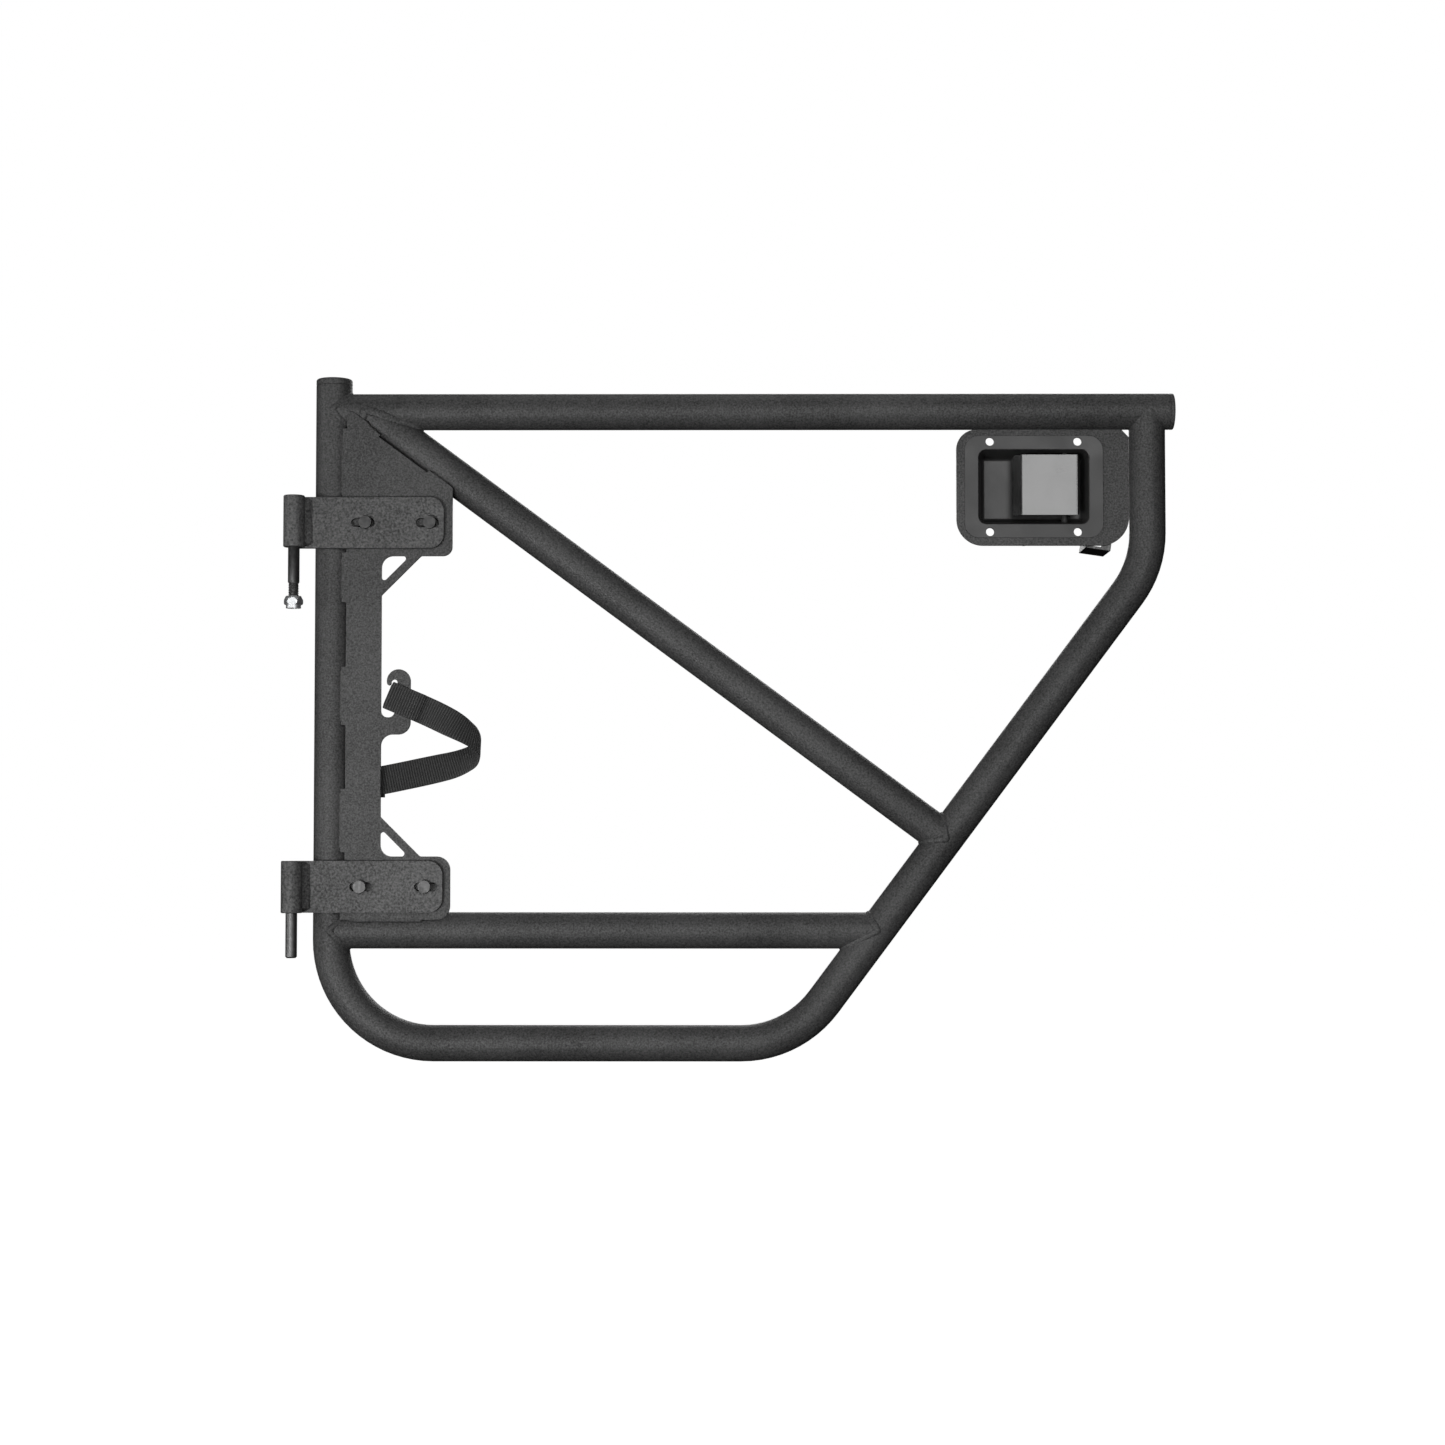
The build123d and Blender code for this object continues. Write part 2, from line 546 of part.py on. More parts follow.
def paddle_handle():
    """Flat handle with a bent finger lip, and two ears that hold the shaft."""
    back_v = PADDLE_FRONT_V + PADDLE_THICKNESS
    profile = outline(
        [
            (PADDLE_RIGHT, PADDLE_FRONT_V, 2.5),
            (LIP_BEND, PADDLE_FRONT_V, 1.2),
            (LIP_END, LIP_END_V, 0.8),
            (LIP_END + 2.4, LIP_END_V + 2.2, 0.8),
            (LIP_BEND + 1.6, back_v, 2.0),
            (PADDLE_RIGHT, back_v, 0.3),
        ]
    )
    handle = flat_plate(profile, PADDLE_BOTTOM, PADDLE_TOP - PADDLE_BOTTOM)
    front_view = outline(
        [
            (LIP_END, PADDLE_BOTTOM, 3.5),
            (PADDLE_RIGHT, PADDLE_BOTTOM, 3),
            (PADDLE_RIGHT, PADDLE_TOP, 3),
            (LIP_END, PADDLE_TOP, 3.5),
        ]
    )
    handle = handle & upright_plate(front_view, PIVOT_V + EAR_RADIUS, PIVOT_V + 2 * EAR_RADIUS)
    ear_face = Pos(PIVOT_U, PIVOT_V) * Circle(EAR_RADIUS)
    ear_face = ear_face + outline(
        [
            (PIVOT_U - EAR_RADIUS, back_v - 0.5, 0),
            (PIVOT_U + EAR_RADIUS - 1.5, back_v - 0.5, 0),
            (PIVOT_U + EAR_RADIUS - 1.5, PIVOT_V, 0),
            (PIVOT_U - EAR_RADIUS, PIVOT_V, 0),
        ]
    )
    for ear_z in EAR_FACES:
        handle = handle + flat_plate(ear_face, ear_z, EAR_THICKNESS)
    bore = rod((PIVOT_U, PIVOT_V, PADDLE_BOTTOM - 1), (PIVOT_U, PIVOT_V, PADDLE_TOP + 1), SHAFT_RADIUS)
    return latch_place * (handle - bore)


SHAFT_TOP = 42.5
SHAFT_BOTTOM = -49.4
CLIP_RADIUS = 6.5
CLIP_Z = 40.0
CRANK_TOP = -46.1
CRANK_THICKNESS = 3.2
CRANK_BOSS = 7.5
CRANK_END = 5.5
BOLT_TOP_W = -50.0
BOLT_BOTTOM_W = -56.0


def spring_clip(centre, axis, radius, inner):
    """Thin retaining clip: a ring with a gap."""
    end = Vector(*centre) + Vector(*axis)
    ring = rod(centre, tuple(end), radius) - rod(centre, tuple(end), inner)
    gap = Plane(origin=centre, z_dir=axis) * Pos(0, -radius, 0.5) * Box(2.4, 2 * radius, 3)
    return largest(ring - gap)


def crank_lever():
    """Lever on the shaft's lower end, with the pin that drives the bolt."""
    crank_bottom = CRANK_TOP - CRANK_THICKNESS
    face = Pos(PIVOT_U, PIVOT_V) * Circle(CRANK_BOSS)
    face = face + Pos(PIVOT_U, PIVOT_V + CRANK_REACH) * Circle(CRANK_END)
    face = face + Pos(PIVOT_U, PIVOT_V + CRANK_REACH / 2) * Rectangle(2 * CRANK_END, CRANK_REACH)
    lever = flat_plate(face, crank_bottom, CRANK_THICKNESS)
    lever = lever - rod((PIVOT_U, PIVOT_V, -60), (PIVOT_U, PIVOT_V, 0), SHAFT_RADIUS)
    pin_y = PIVOT_V + CRANK_REACH
    lever = lever + rod((PIVOT_U, pin_y, BOLT_BOTTOM_W - 0.5), (PIVOT_U, pin_y, CRANK_TOP), DRIVE_PIN_RADIUS)
    return latch_place * lever


save(paddle_handle(), "paddle_handle")
shaft = rod((PIVOT_U, PIVOT_V, SHAFT_BOTTOM), (PIVOT_U, PIVOT_V, SHAFT_TOP), SHAFT_RADIUS)
save(latch_place * chamfer(shaft.edges().filter_by(GeomType.CIRCLE), 0.5), "paddle_shaft")
shaft_clip = spring_clip((PIVOT_U, PIVOT_V, CLIP_Z), (0, 0, 1), CLIP_RADIUS, SHAFT_RADIUS)
save(latch_place * shaft_clip, "shaft_clip")
save(crank_lever(), "crank_lever")

# ---------------------------------------------------------------- slam bolt, its guide and spring
BOLT_FRONT_V = 25.0
BOLT_BACK_V = 47.0
BOLT_TAIL_U = 20.0
BOLT_NOSE_U = 74.4
BOLT_NOSE_FLAT = 6.0
BOLT_NOSE_BEVEL = 13.0
BOLT_SLOT_LENGTH = 12.6
BOLT_SLOT_SHIFT = -2.0
BOLT_MID_V = PIVOT_V + CRANK_REACH
BOLT_MID_W = (BOLT_TOP_W + BOLT_BOTTOM_W) / 2
ROD_RADIUS = 3.5
ROD_END_U = -12.0
EAR_LEFT_U = -8.0
BRACKET_RIGHT_U = 40.0
BRACKET_SHEET = 2.5
BRACKET_BOTTOM_W = -58.5
BRACKET_TOP_W = -47.6
BRACKET_BACK_V = 44.0
BOLT_CLEARANCE = 0.35
TAIL_CLIP_RADIUS = 5.0
TAIL_CLIP_THICKNESS = 1.2


def latch_bolt():
    """Bolt with a bevelled nose, a cross slot for the crank's pin and a tail rod for its spring."""
    plan = outline(
        [
            (BOLT_TAIL_U, BOLT_FRONT_V, 1),
            (BOLT_NOSE_U, BOLT_FRONT_V, 1),
            (BOLT_NOSE_U, BOLT_FRONT_V + BOLT_NOSE_FLAT, 1),
            (BOLT_NOSE_U - BOLT_NOSE_BEVEL, BOLT_BACK_V, 1),
            (BOLT_TAIL_U, BOLT_BACK_V, 1),
        ]
    )
    slot = SlotOverall(BOLT_SLOT_LENGTH, 2 * (DRIVE_PIN_RADIUS + BOLT_CLEARANCE))
    plan = plan - Pos(PIVOT_U, BOLT_MID_V + BOLT_SLOT_SHIFT) * Rotation(0, 0, 90) * slot
    bolt = flat_plate(plan, BOLT_BOTTOM_W, BOLT_TOP_W - BOLT_BOTTOM_W)
    tail = rod((ROD_END_U, BOLT_MID_V, BOLT_MID_W), (BOLT_TAIL_U + 2, BOLT_MID_V, BOLT_MID_W), ROD_RADIUS)
    return latch_place * (bolt + tail)


def bolt_guide():
    """Angle bracket behind the latch plate, whose ear holds the bolt's tail rod and its spring."""
    back = LATCH_PLATE_THICKNESS
    base = block(
        (EAR_LEFT_U, back, BRACKET_BOTTOM_W), (BRACKET_RIGHT_U, back + BRACKET_SHEET, BRACKET_TOP_W - 2.5)
    )
    ear = block(
        (EAR_LEFT_U, back, BRACKET_BOTTOM_W), (EAR_LEFT_U + BRACKET_SHEET, BRACKET_BACK_V, BRACKET_TOP_W)
    )
    bore = rod(
        (EAR_LEFT_U - 1, BOLT_MID_V, BOLT_MID_W), (0, BOLT_MID_V, BOLT_MID_W), ROD_RADIUS + BOLT_CLEARANCE
    )
    guide = base + ear
    low_back_edge = guide.edges().filter_by(Axis.X).sort_by(lambda edge: edge.center().Z - edge.center().Y)[0]
    return latch_place * (fillet(low_back_edge, 4.0) - bore)


save(latch_bolt(), "latch_bolt")
save(bolt_guide(), "bolt_guide")
tail_clip_centre = (EAR_LEFT_U - TAIL_CLIP_THICKNESS, BOLT_MID_V, BOLT_MID_W)
tail_clip = spring_clip(tail_clip_centre, (1, 0, 0), TAIL_CLIP_RADIUS, ROD_RADIUS)
save(latch_place * tail_clip, "bolt_tail_clip")
SPRING_OUTER = 5.4
SPRING_INNER = 3.9
spring_start = EAR_LEFT_U + BRACKET_SHEET
spring = rod((spring_start, BOLT_MID_V, BOLT_MID_W), (BOLT_TAIL_U, BOLT_MID_V, BOLT_MID_W), SPRING_OUTER)
spring = spring - rod(
    (spring_start - 1, BOLT_MID_V, BOLT_MID_W), (BOLT_TAIL_U + 1, BOLT_MID_V, BOLT_MID_W), SPRING_INNER
)
save(latch_place * spring, "bolt_spring")

# ---------------------------------------------------------------- striker guide
GUIDE_WIDTH = 26.5
GUIDE_HEIGHT = 22.0
GUIDE_DEPTH = 56.0
GUIDE_SHEET = 3.0
GUIDE_TILT = 8.3
GUIDE_CORNER = (54.7, -64.1)
GUIDE_FLANGE = 10.0


def striker_guide():
    """U-shaped catch, open at the top, that the body's striker enters from behind."""
    back = LATCH_PLATE_THICKNESS + GUIDE_DEPTH
    front = LATCH_PLATE_THICKNESS
    guide = block((0, front, 0), (GUIDE_WIDTH, back, GUIDE_HEIGHT))
    guide = guide - block(
        (GUIDE_SHEET, front - 1, GUIDE_SHEET), (GUIDE_WIDTH - GUIDE_SHEET, back + 1, GUIDE_HEIGHT + 1)
    )
    guide = guide + block(
        (GUIDE_WIDTH - GUIDE_FLANGE, front, GUIDE_SHEET), (GUIDE_WIDTH, front + GUIDE_SHEET, GUIDE_HEIGHT)
    )
    guide = Pos(GUIDE_CORNER[0], 0, GUIDE_CORNER[1]) * Rotation(0, GUIDE_TILT, 0) * guide
    window = block(
        (GUIDE_CORNER[0] - 2, BOLT_FRONT_V - BOLT_CLEARANCE, BOLT_BOTTOM_W - BOLT_CLEARANCE),
        (GUIDE_CORNER[0] + 9, BOLT_BACK_V + BOLT_CLEARANCE, BOLT_TOP_W + BOLT_CLEARANCE),
    )
    return latch_place * (guide - window)


save(striker_guide(), "striker_guide")

# ---------------------------------------------------------------- check strap
# The strap's run, from the fold at the hook's finger, out round a half turn, to behind the plate.
STRAP_ROUTE = [
    (100.2, 24.8, 226.2),
    (124.0, 23.6, 216.2),
    (148.0, 17.5, 205.6),
    (174.0, 14.0, 192.0),
    (192.0, 26.0, 179.5),
    (190.5, 47.0, 167.5),
    (168.0, 55.0, 156.5),
    (140.0, 47.0, 149.6),
    (112.0, 34.0, 143.0),
    (86.0, 27.0, 137.4),
    (72.0, 25.6, 135.2),
]
ARC_SHARE = 0.45
GUIDE_OFFSET = 20.0
FOLD_S = -3.2
TAIL_END_S = 33.5
FINGER_SIDE_Y = 16.0
ANCHOR_X = 60.5
ANCHOR_Y = 30.4
ANCHOR_ROD = 2.5
ANCHOR_HALF_HEIGHT = 21.0
ANCHOR_SLACK = 0.6
END_GAP = 0.4
TAIL_JOIN_GAP = 6.6


def route_radii(route):
    """Radius at each inner point: as large as its two runs allow."""
    radii = []
    for before, point, after in zip(route, route[1:], route[2:]):
        first = Vector(*point) - Vector(*before)
        second = Vector(*after) - Vector(*point)
        half_turn = math.radians(first.get_angle(second) / 2)
        radii.append(ARC_SHARE * min(first.length, second.length) / math.tan(half_turn))
    return radii


def strap_run():
    """Flat webbing along the route, with its width kept upright."""
    radii = route_radii(STRAP_ROUTE)
    print("check strap, bend radii in mm:", [round(radius) for radius in radii])
    path = FilletPolyline(*STRAP_ROUTE, radius=radii)
    along = path % 0
    width_way = (Vector(0, 0, 1) - along * along.Z).normalized()
    start = Plane(origin=path @ 0, x_dir=width_way.cross(along), z_dir=along)
    section = start * Rectangle(STRAP_THICKNESS, STRAP_WIDTH)
    guide = Pos(0, 0, GUIDE_OFFSET) * path
    return sweep(section, path=path, binormal=guide.wire())


def folded_webbing(plane, points, radii):
    """Webbing folded along a line drawn in a plane square to its width."""
    profile = trace(FilletPolyline(*points, radius=radii), line_width=STRAP_THICKNESS)
    return extrude(plane * profile, amount=STRAP_WIDTH / 2, both=True)


def strap_end_loop():
    """Fold round the hook's finger, whose end is sewn on the outside of the run."""
    start = Vector(*STRAP_ROUTE[0])
    run = Vector(*STRAP_ROUTE[1]) - start
    level = Vector(run.X, 0, run.Z).normalized()
    plane = Plane(origin=(start.X, 0, start.Z), x_dir=level, z_dir=level.cross(Vector(0, 1, 0)))
    points = [
        (TAIL_END_S, FINGER_SIDE_Y + 1.8),
        (TAIL_END_S - 4.0, FINGER_SIDE_Y),
        (FOLD_S, FINGER_SIDE_Y),
        (FOLD_S, start.Y),
        (-END_GAP, start.Y),
    ]
    return folded_webbing(plane, points, [4, 2.4, 2.4])


def strap_tail_loop():
    """Sewn loop round the anchor's rod."""
    end = Vector(*STRAP_ROUTE[-1])
    plane = Plane(origin=(0, 0, end.Z), x_dir=(1, 0, 0), z_dir=(0, 0, 1))
    wrap = ANCHOR_ROD + STRAP_THICKNESS / 2 + ANCHOR_SLACK
    left = ANCHOR_X - wrap
    back = ANCHOR_Y + wrap
    points = [
        (end.X - TAIL_JOIN_GAP, end.Y),
        (left, end.Y),
        (left, back),
        (ANCHOR_X + 8, back),
        (ANCHOR_X + 20, ANCHOR_Y - 1.2),
        (ANCHOR_X + 32, ANCHOR_Y + 0.6),
    ]
    return folded_webbing(plane, points, [3.4, 3.6, 8, 20])


def strap_anchor():
    """Staple welded behind the hinge plate, which the strap's far end loops round."""
    middle = STRAP_ROUTE[-1][2]
    low = middle - ANCHOR_HALF_HEIGHT
    high = middle + ANCHOR_HALF_HEIGHT
    path = FilletPolyline(
        (ANCHOR_X, PLATE_BACK_Y, low),
        (ANCHOR_X, ANCHOR_Y, low),
        (ANCHOR_X, ANCHOR_Y, high),
        (ANCHOR_X, PLATE_BACK_Y, high),
        radius=4.5,
    )
    return pipe(path, ANCHOR_ROD)


save(strap_run(), "check_strap")
save(strap_end_loop(), "strap_end_loop")
save(strap_tail_loop(), "strap_tail_loop")
save(strap_anchor(), "strap_anchor")
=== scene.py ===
import math

import bmesh
import bpy
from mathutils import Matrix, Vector


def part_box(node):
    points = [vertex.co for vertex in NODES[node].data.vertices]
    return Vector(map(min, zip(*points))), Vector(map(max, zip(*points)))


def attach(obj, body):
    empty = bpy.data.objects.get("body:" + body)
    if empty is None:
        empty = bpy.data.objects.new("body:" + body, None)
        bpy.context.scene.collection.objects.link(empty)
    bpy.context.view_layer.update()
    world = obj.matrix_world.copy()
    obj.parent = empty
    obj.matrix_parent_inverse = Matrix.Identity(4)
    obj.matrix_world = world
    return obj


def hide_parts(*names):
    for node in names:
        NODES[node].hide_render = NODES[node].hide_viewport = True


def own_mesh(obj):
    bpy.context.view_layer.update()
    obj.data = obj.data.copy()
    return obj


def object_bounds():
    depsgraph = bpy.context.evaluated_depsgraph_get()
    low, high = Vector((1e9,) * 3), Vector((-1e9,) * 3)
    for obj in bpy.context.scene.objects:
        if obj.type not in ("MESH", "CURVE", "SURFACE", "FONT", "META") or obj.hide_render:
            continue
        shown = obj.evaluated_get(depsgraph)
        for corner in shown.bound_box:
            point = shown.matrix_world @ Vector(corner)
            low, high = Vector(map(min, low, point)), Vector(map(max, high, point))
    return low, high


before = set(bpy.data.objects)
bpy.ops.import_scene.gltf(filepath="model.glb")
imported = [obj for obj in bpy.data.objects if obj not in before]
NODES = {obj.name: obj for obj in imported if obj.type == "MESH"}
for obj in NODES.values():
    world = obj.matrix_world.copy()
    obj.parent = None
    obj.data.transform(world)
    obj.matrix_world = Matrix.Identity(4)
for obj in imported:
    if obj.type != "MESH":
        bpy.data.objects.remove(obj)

# Rear tube door. Everything is in metres, in the CAD model's frame: +X towards the vehicle's rear,
# +Z up, and the outside of the door faces -Y. The hinge axis is X = 0, Y = 0.
cad_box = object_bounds()
MM = 0.001

# ---------------------------------------------------------------- places read from the frame
hoop_low, hoop_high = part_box("hoop_tube")
rail_low, rail_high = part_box("top_rail")
lower_rail_low, lower_rail_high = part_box("lower_rail")
plate_low, plate_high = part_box("hinge_plate")
TUBE_RADIUS = (rail_high.z - rail_low.z) / 2
TUBE_Y = (rail_low.y + rail_high.y) / 2
FRONT_X = hoop_low.x + TUBE_RADIUS
REAR_X = hoop_high.x - TUBE_RADIUS
RAIL_Z = (rail_low.z + rail_high.z) / 2
LOWER_RAIL_Z = (lower_rail_low.z + lower_rail_high.z) / 2


# Part of a noise texture's range that its values mostly fill.
NOISE_LOW = 0.25
NOISE_HIGH = 0.75


# ---------------------------------------------------------------- node helpers
def new_material(name):
    """New material with only its shader, and the nodes and links to add to it."""
    material = bpy.data.materials.new(name)
    material.use_nodes = True
    return material, material.node_tree.nodes, material.node_tree.links


def add(nodes, kind, **settings):
    """New node with its settings and its inputs' constants."""
    node = nodes.new(kind)
    for key, value in settings.items():
        if key in node.inputs:
            node.inputs[key].default_value = value
        else:
            setattr(node, key, value)
    return node


def noise(nodes, links, place, scale, detail=3.0, roughness=0.55):
    """Noise of a given scale per metre, at the object's own coordinates."""
    texture = add(nodes, "ShaderNodeTexNoise", Scale=scale, Detail=detail, Roughness=roughness)
    links.new(place.outputs["Object"], texture.inputs["Vector"])
    return texture.outputs["Fac"]


def ramp(nodes, links, source, low, high, dark, light):
    """Greys or colours from dark to light over part of a source's range."""
    node = nodes.new("ShaderNodeValToRGB")
    node.color_ramp.elements[0].position = low
    node.color_ramp.elements[1].position = high
    node.color_ramp.elements[0].color = (*dark, 1)
    node.color_ramp.elements[1].color = (*light, 1)
    links.new(source, node.inputs["Fac"])
    return node.outputs["Color"]


def spread(nodes, links, source, low, high):
    """Maps the part of its range that a noise mostly fills onto low to high."""
    node = add(nodes, "ShaderNodeMapRange")
    node.inputs["From Min"].default_value = NOISE_LOW
    node.inputs["From Max"].default_value = NOISE_HIGH
    node.inputs["To Min"].default_value = low
    node.inputs["To Max"].default_value = high
    links.new(source, node.inputs["Value"])
    return node.outputs["Result"]


def bump(nodes, links, height, strength, distance, below=None):
    """Bump of a real height in metres, over another bump."""
    node = add(nodes, "ShaderNodeBump", Strength=strength, Distance=distance)
    links.new(height, node.inputs["Height"])
    if below is not None:
        links.new(below, node.inputs["Normal"])
    return node.outputs["Normal"]


def grey(value, tint=0.0):
    """Near-neutral colour, with tint leaning it towards blue or, below nought, towards brown."""
    return (value * (1 - tint), value, value * (1 + tint))


# ---------------------------------------------------------------- materials
# Noise scales per metre, and shares of one noise in a mix.
PEEL_SHARE_OF_GRAIN = 0.22
COAT_PATCHES = 9.0
GRAIN_SHARE = 0.72
PAINT_CLOUD = 38.0
PAINT_DUST = 2600.0
PAINT_PEEL = 420.0
METAL_CLOUD = 160.0
TWILL_DEG = 32
YARN_BANDS = 260.0
CROSS_BANDS = 300.0
WEBBING_FUZZ = 1900.0
# Share of the painted rib shade, against the fuzz, in the webbing's colour.
RIB_SHADE_SHARE = 0.62
NYLON_CLOUD = 700.0


def textured_coat(name, dark, light, grain, height, roughness):
    """Powder coat: fine wrinkled grain over a slow orange peel, with pale specks on its crests."""
    material, nodes, links = new_material(name)
    shader = nodes["Principled BSDF"]
    place = nodes.new("ShaderNodeTexCoord")
    fine = noise(nodes, links, place, grain, 2.0, 0.6)
    peel = noise(nodes, links, place, grain * PEEL_SHARE_OF_GRAIN, 2.0)
    patches = noise(nodes, links, place, COAT_PATCHES, 3.0)
    mixed = add(nodes, "ShaderNodeMix", data_type="FLOAT")
    mixed.inputs[0].default_value = GRAIN_SHARE
    links.new(patches, mixed.inputs[2])
    links.new(fine, mixed.inputs[3])
    links.new(ramp(nodes, links, mixed.outputs[0], 0.34, 0.70, dark, light), shader.inputs["Base Color"])
    links.new(spread(nodes, links, fine, roughness + 0.08, roughness - 0.07), shader.inputs["Roughness"])
    slow = bump(nodes, links, peel, 0.5, height)
    links.new(bump(nodes, links, fine, 0.8, height, slow), shader.inputs["Normal"])
    shader.inputs["Specular IOR Level"].default_value = 0.42
    return material


def smooth_paint(name, dark, light, roughness, coat):
    """Satin or gloss black: slow orange peel and faint dust."""
    material, nodes, links = new_material(name)
    shader = nodes["Principled BSDF"]
    place = nodes.new("ShaderNodeTexCoord")
    cloud = noise(nodes, links, place, PAINT_CLOUD, 4.0)
    dust = noise(nodes, links, place, PAINT_DUST, 1.0)
    peel = noise(nodes, links, place, PAINT_PEEL, 2.0)
    links.new(ramp(nodes, links, cloud, 0.3, 0.7, dark, light), shader.inputs["Base Color"])
    links.new(spread(nodes, links, cloud, roughness - 0.05, roughness + 0.06), shader.inputs["Roughness"])
    slow = bump(nodes, links, peel, 0.25, 0.05 * MM)
    links.new(bump(nodes, links, dust, 0.2, 0.02 * MM, slow), shader.inputs["Normal"])
    shader.inputs["Coat Weight"].default_value = coat
    shader.inputs["Coat Roughness"].default_value = 0.14
    return material


def bare_metal(name, dark, light, roughness, stretch):
    """Plated or oiled steel: drawn or turned lines, cloudy plating and small stains."""
    material, nodes, links = new_material(name)
    shader = nodes["Principled BSDF"]
    place = nodes.new("ShaderNodeTexCoord")
    squeeze = add(nodes, "ShaderNodeMapping")
    squeeze.inputs["Scale"].default_value = stretch
    links.new(place.outputs["Object"], squeeze.inputs["Vector"])
    lines = add(nodes, "ShaderNodeTexNoise", Scale=1.0, Detail=4.0)
    links.new(squeeze.outputs["Vector"], lines.inputs["Vector"])
    cloud = noise(nodes, links, place, METAL_CLOUD, 4.0)
    links.new(ramp(nodes, links, cloud, 0.3, 0.72, dark, light), shader.inputs["Base Color"])
    links.new(
        spread(nodes, links, lines.outputs["Fac"], roughness - 0.07, roughness + 0.09),
        shader.inputs["Roughness"],
    )
    links.new(bump(nodes, links, lines.outputs["Fac"], 0.3, 0.03 * MM), shader.inputs["Normal"])
    shader.inputs["Metallic"].default_value = 1.0
    return material


def black_webbing():
    """Nylon webbing: a twill of fine yarns over the woven ribs that the mesh holds, with painted shade on
    the ribs from the mesh's rib attribute: lighter on their crests and darker in their troughs.
    """
    material, nodes, links = new_material("black_webbing")
    shader = nodes["Principled BSDF"]
    place = nodes.new("ShaderNodeTexCoord")
    turn = add(nodes, "ShaderNodeMapping")
    turn.inputs["Rotation"].default_value = (0, math.radians(TWILL_DEG), 0)
    links.new(place.outputs["Object"], turn.inputs["Vector"])
    yarn = add(nodes, "ShaderNodeTexWave", Scale=YARN_BANDS, Distortion=1.2, Detail=2.0)
    yarn.inputs["Detail Scale"].default_value = 3.0
    links.new(turn.outputs["Vector"], yarn.inputs["Vector"])
    cross = add(nodes, "ShaderNodeTexWave", Scale=CROSS_BANDS, Distortion=1.0, bands_direction="Z")
    links.new(turn.outputs["Vector"], cross.inputs["Vector"])
    fuzz = noise(nodes, links, place, WEBBING_FUZZ, 3.0)
    # Painted shade of the ribs: the mesh's rib attribute is 1 on each crest and 0 in each trough, so it
    # lightens the crests and darkens the troughs.
    rib = add(nodes, "ShaderNodeAttribute", attribute_name="rib")
    fuzz_and_rib_shade = add(nodes, "ShaderNodeMix", data_type="FLOAT")
    fuzz_and_rib_shade.inputs[0].default_value = RIB_SHADE_SHARE
    links.new(fuzz, fuzz_and_rib_shade.inputs[2])
    links.new(rib.outputs["Fac"], fuzz_and_rib_shade.inputs[3])
    colour = ramp(nodes, links, fuzz_and_rib_shade.outputs[0], 0.12, 0.85, grey(0.002), grey(0.060))
    links.new(colour, shader.inputs["Base Color"])
    slow = bump(nodes, links, yarn.outputs["Fac"], 0.55, 0.12 * MM)
    both = bump(nodes, links, cross.outputs["Fac"], 0.45, 0.10 * MM, slow)
    links.new(bump(nodes, links, fuzz, 0.4, 0.06 * MM, both), shader.inputs["Normal"])
    links.new(spread(nodes, links, fuzz, 0.66, 0.82), shader.inputs["Roughness"])
    shader.inputs["Sheen Weight"].default_value = 0.22
    shader.inputs["Sheen Roughness"].default_value = 0.45
    return material


def moulded_nylon():
    """Natural nylon of the lock nut's insert."""
    material, nodes, links = new_material("nut_nylon")
    shader = nodes["Principled BSDF"]
    place = nodes.new("ShaderNodeTexCoord")
    cloud = noise(nodes, links, place, NYLON_CLOUD, 3.0)
    colour = ramp(nodes, links, cloud, 0.3, 0.7, (0.42, 0.44, 0.46), (0.58, 0.60, 0.62))
    links.new(colour, shader.inputs["Base Color"])
    links.new(spread(nodes, links, cloud, 0.34, 0.46), shader.inputs["Roughness"])
    links.new(bump(nodes, links, cloud, 0.2, 0.04 * MM), shader.inputs["Normal"])
    shader.inputs["Subsurface Weight"].default_value = 0.15
    shader.inputs["Subsurface Scale"].default_value = 0.001
    return material


FRAME_COAT = textured_coat("frame_powder_coat", grey(0.018), grey(0.105), 540.0, 0.34 * MM, 0.56)
HINGE_COAT = textured_coat("hinge_powder_coat", grey(0.016), grey(0.150), 430.0, 0.55 * MM, 0.54)
SATIN_BLACK = smooth_paint("latch_satin_black", grey(0.022), grey(0.034), 0.42, 0.0)
GLOSS_BLACK = smooth_paint("paddle_gloss_black", grey(0.016), grey(0.024), 0.20, 0.6)
DULL_BLACK = smooth_paint("shaft_dull_black", grey(0.006), grey(0.012), 0.60, 0.0)
BLACK_OXIDE = bare_metal("black_oxide_steel", grey(0.055), grey(0.11), 0.44, (500, 500, 90))
PIN_STEEL = bare_metal("pin_dark_steel", grey(0.12), grey(0.20), 0.52, (60, 60, 2600))
ZINC = bare_metal("bright_zinc", grey(0.66, 0.02), grey(0.84, 0.015), 0.46, (700, 700, 160))
SPRING_STEEL = bare_metal("spring_steel", grey(0.34), grey(0.48), 0.30, (160, 2200, 2200))
WEBBING = black_webbing()
THREAD = smooth_paint("black_sewing_thread", grey(0.035), grey(0.085), 0.55, 0.0)
NYLON = moulded_nylon()

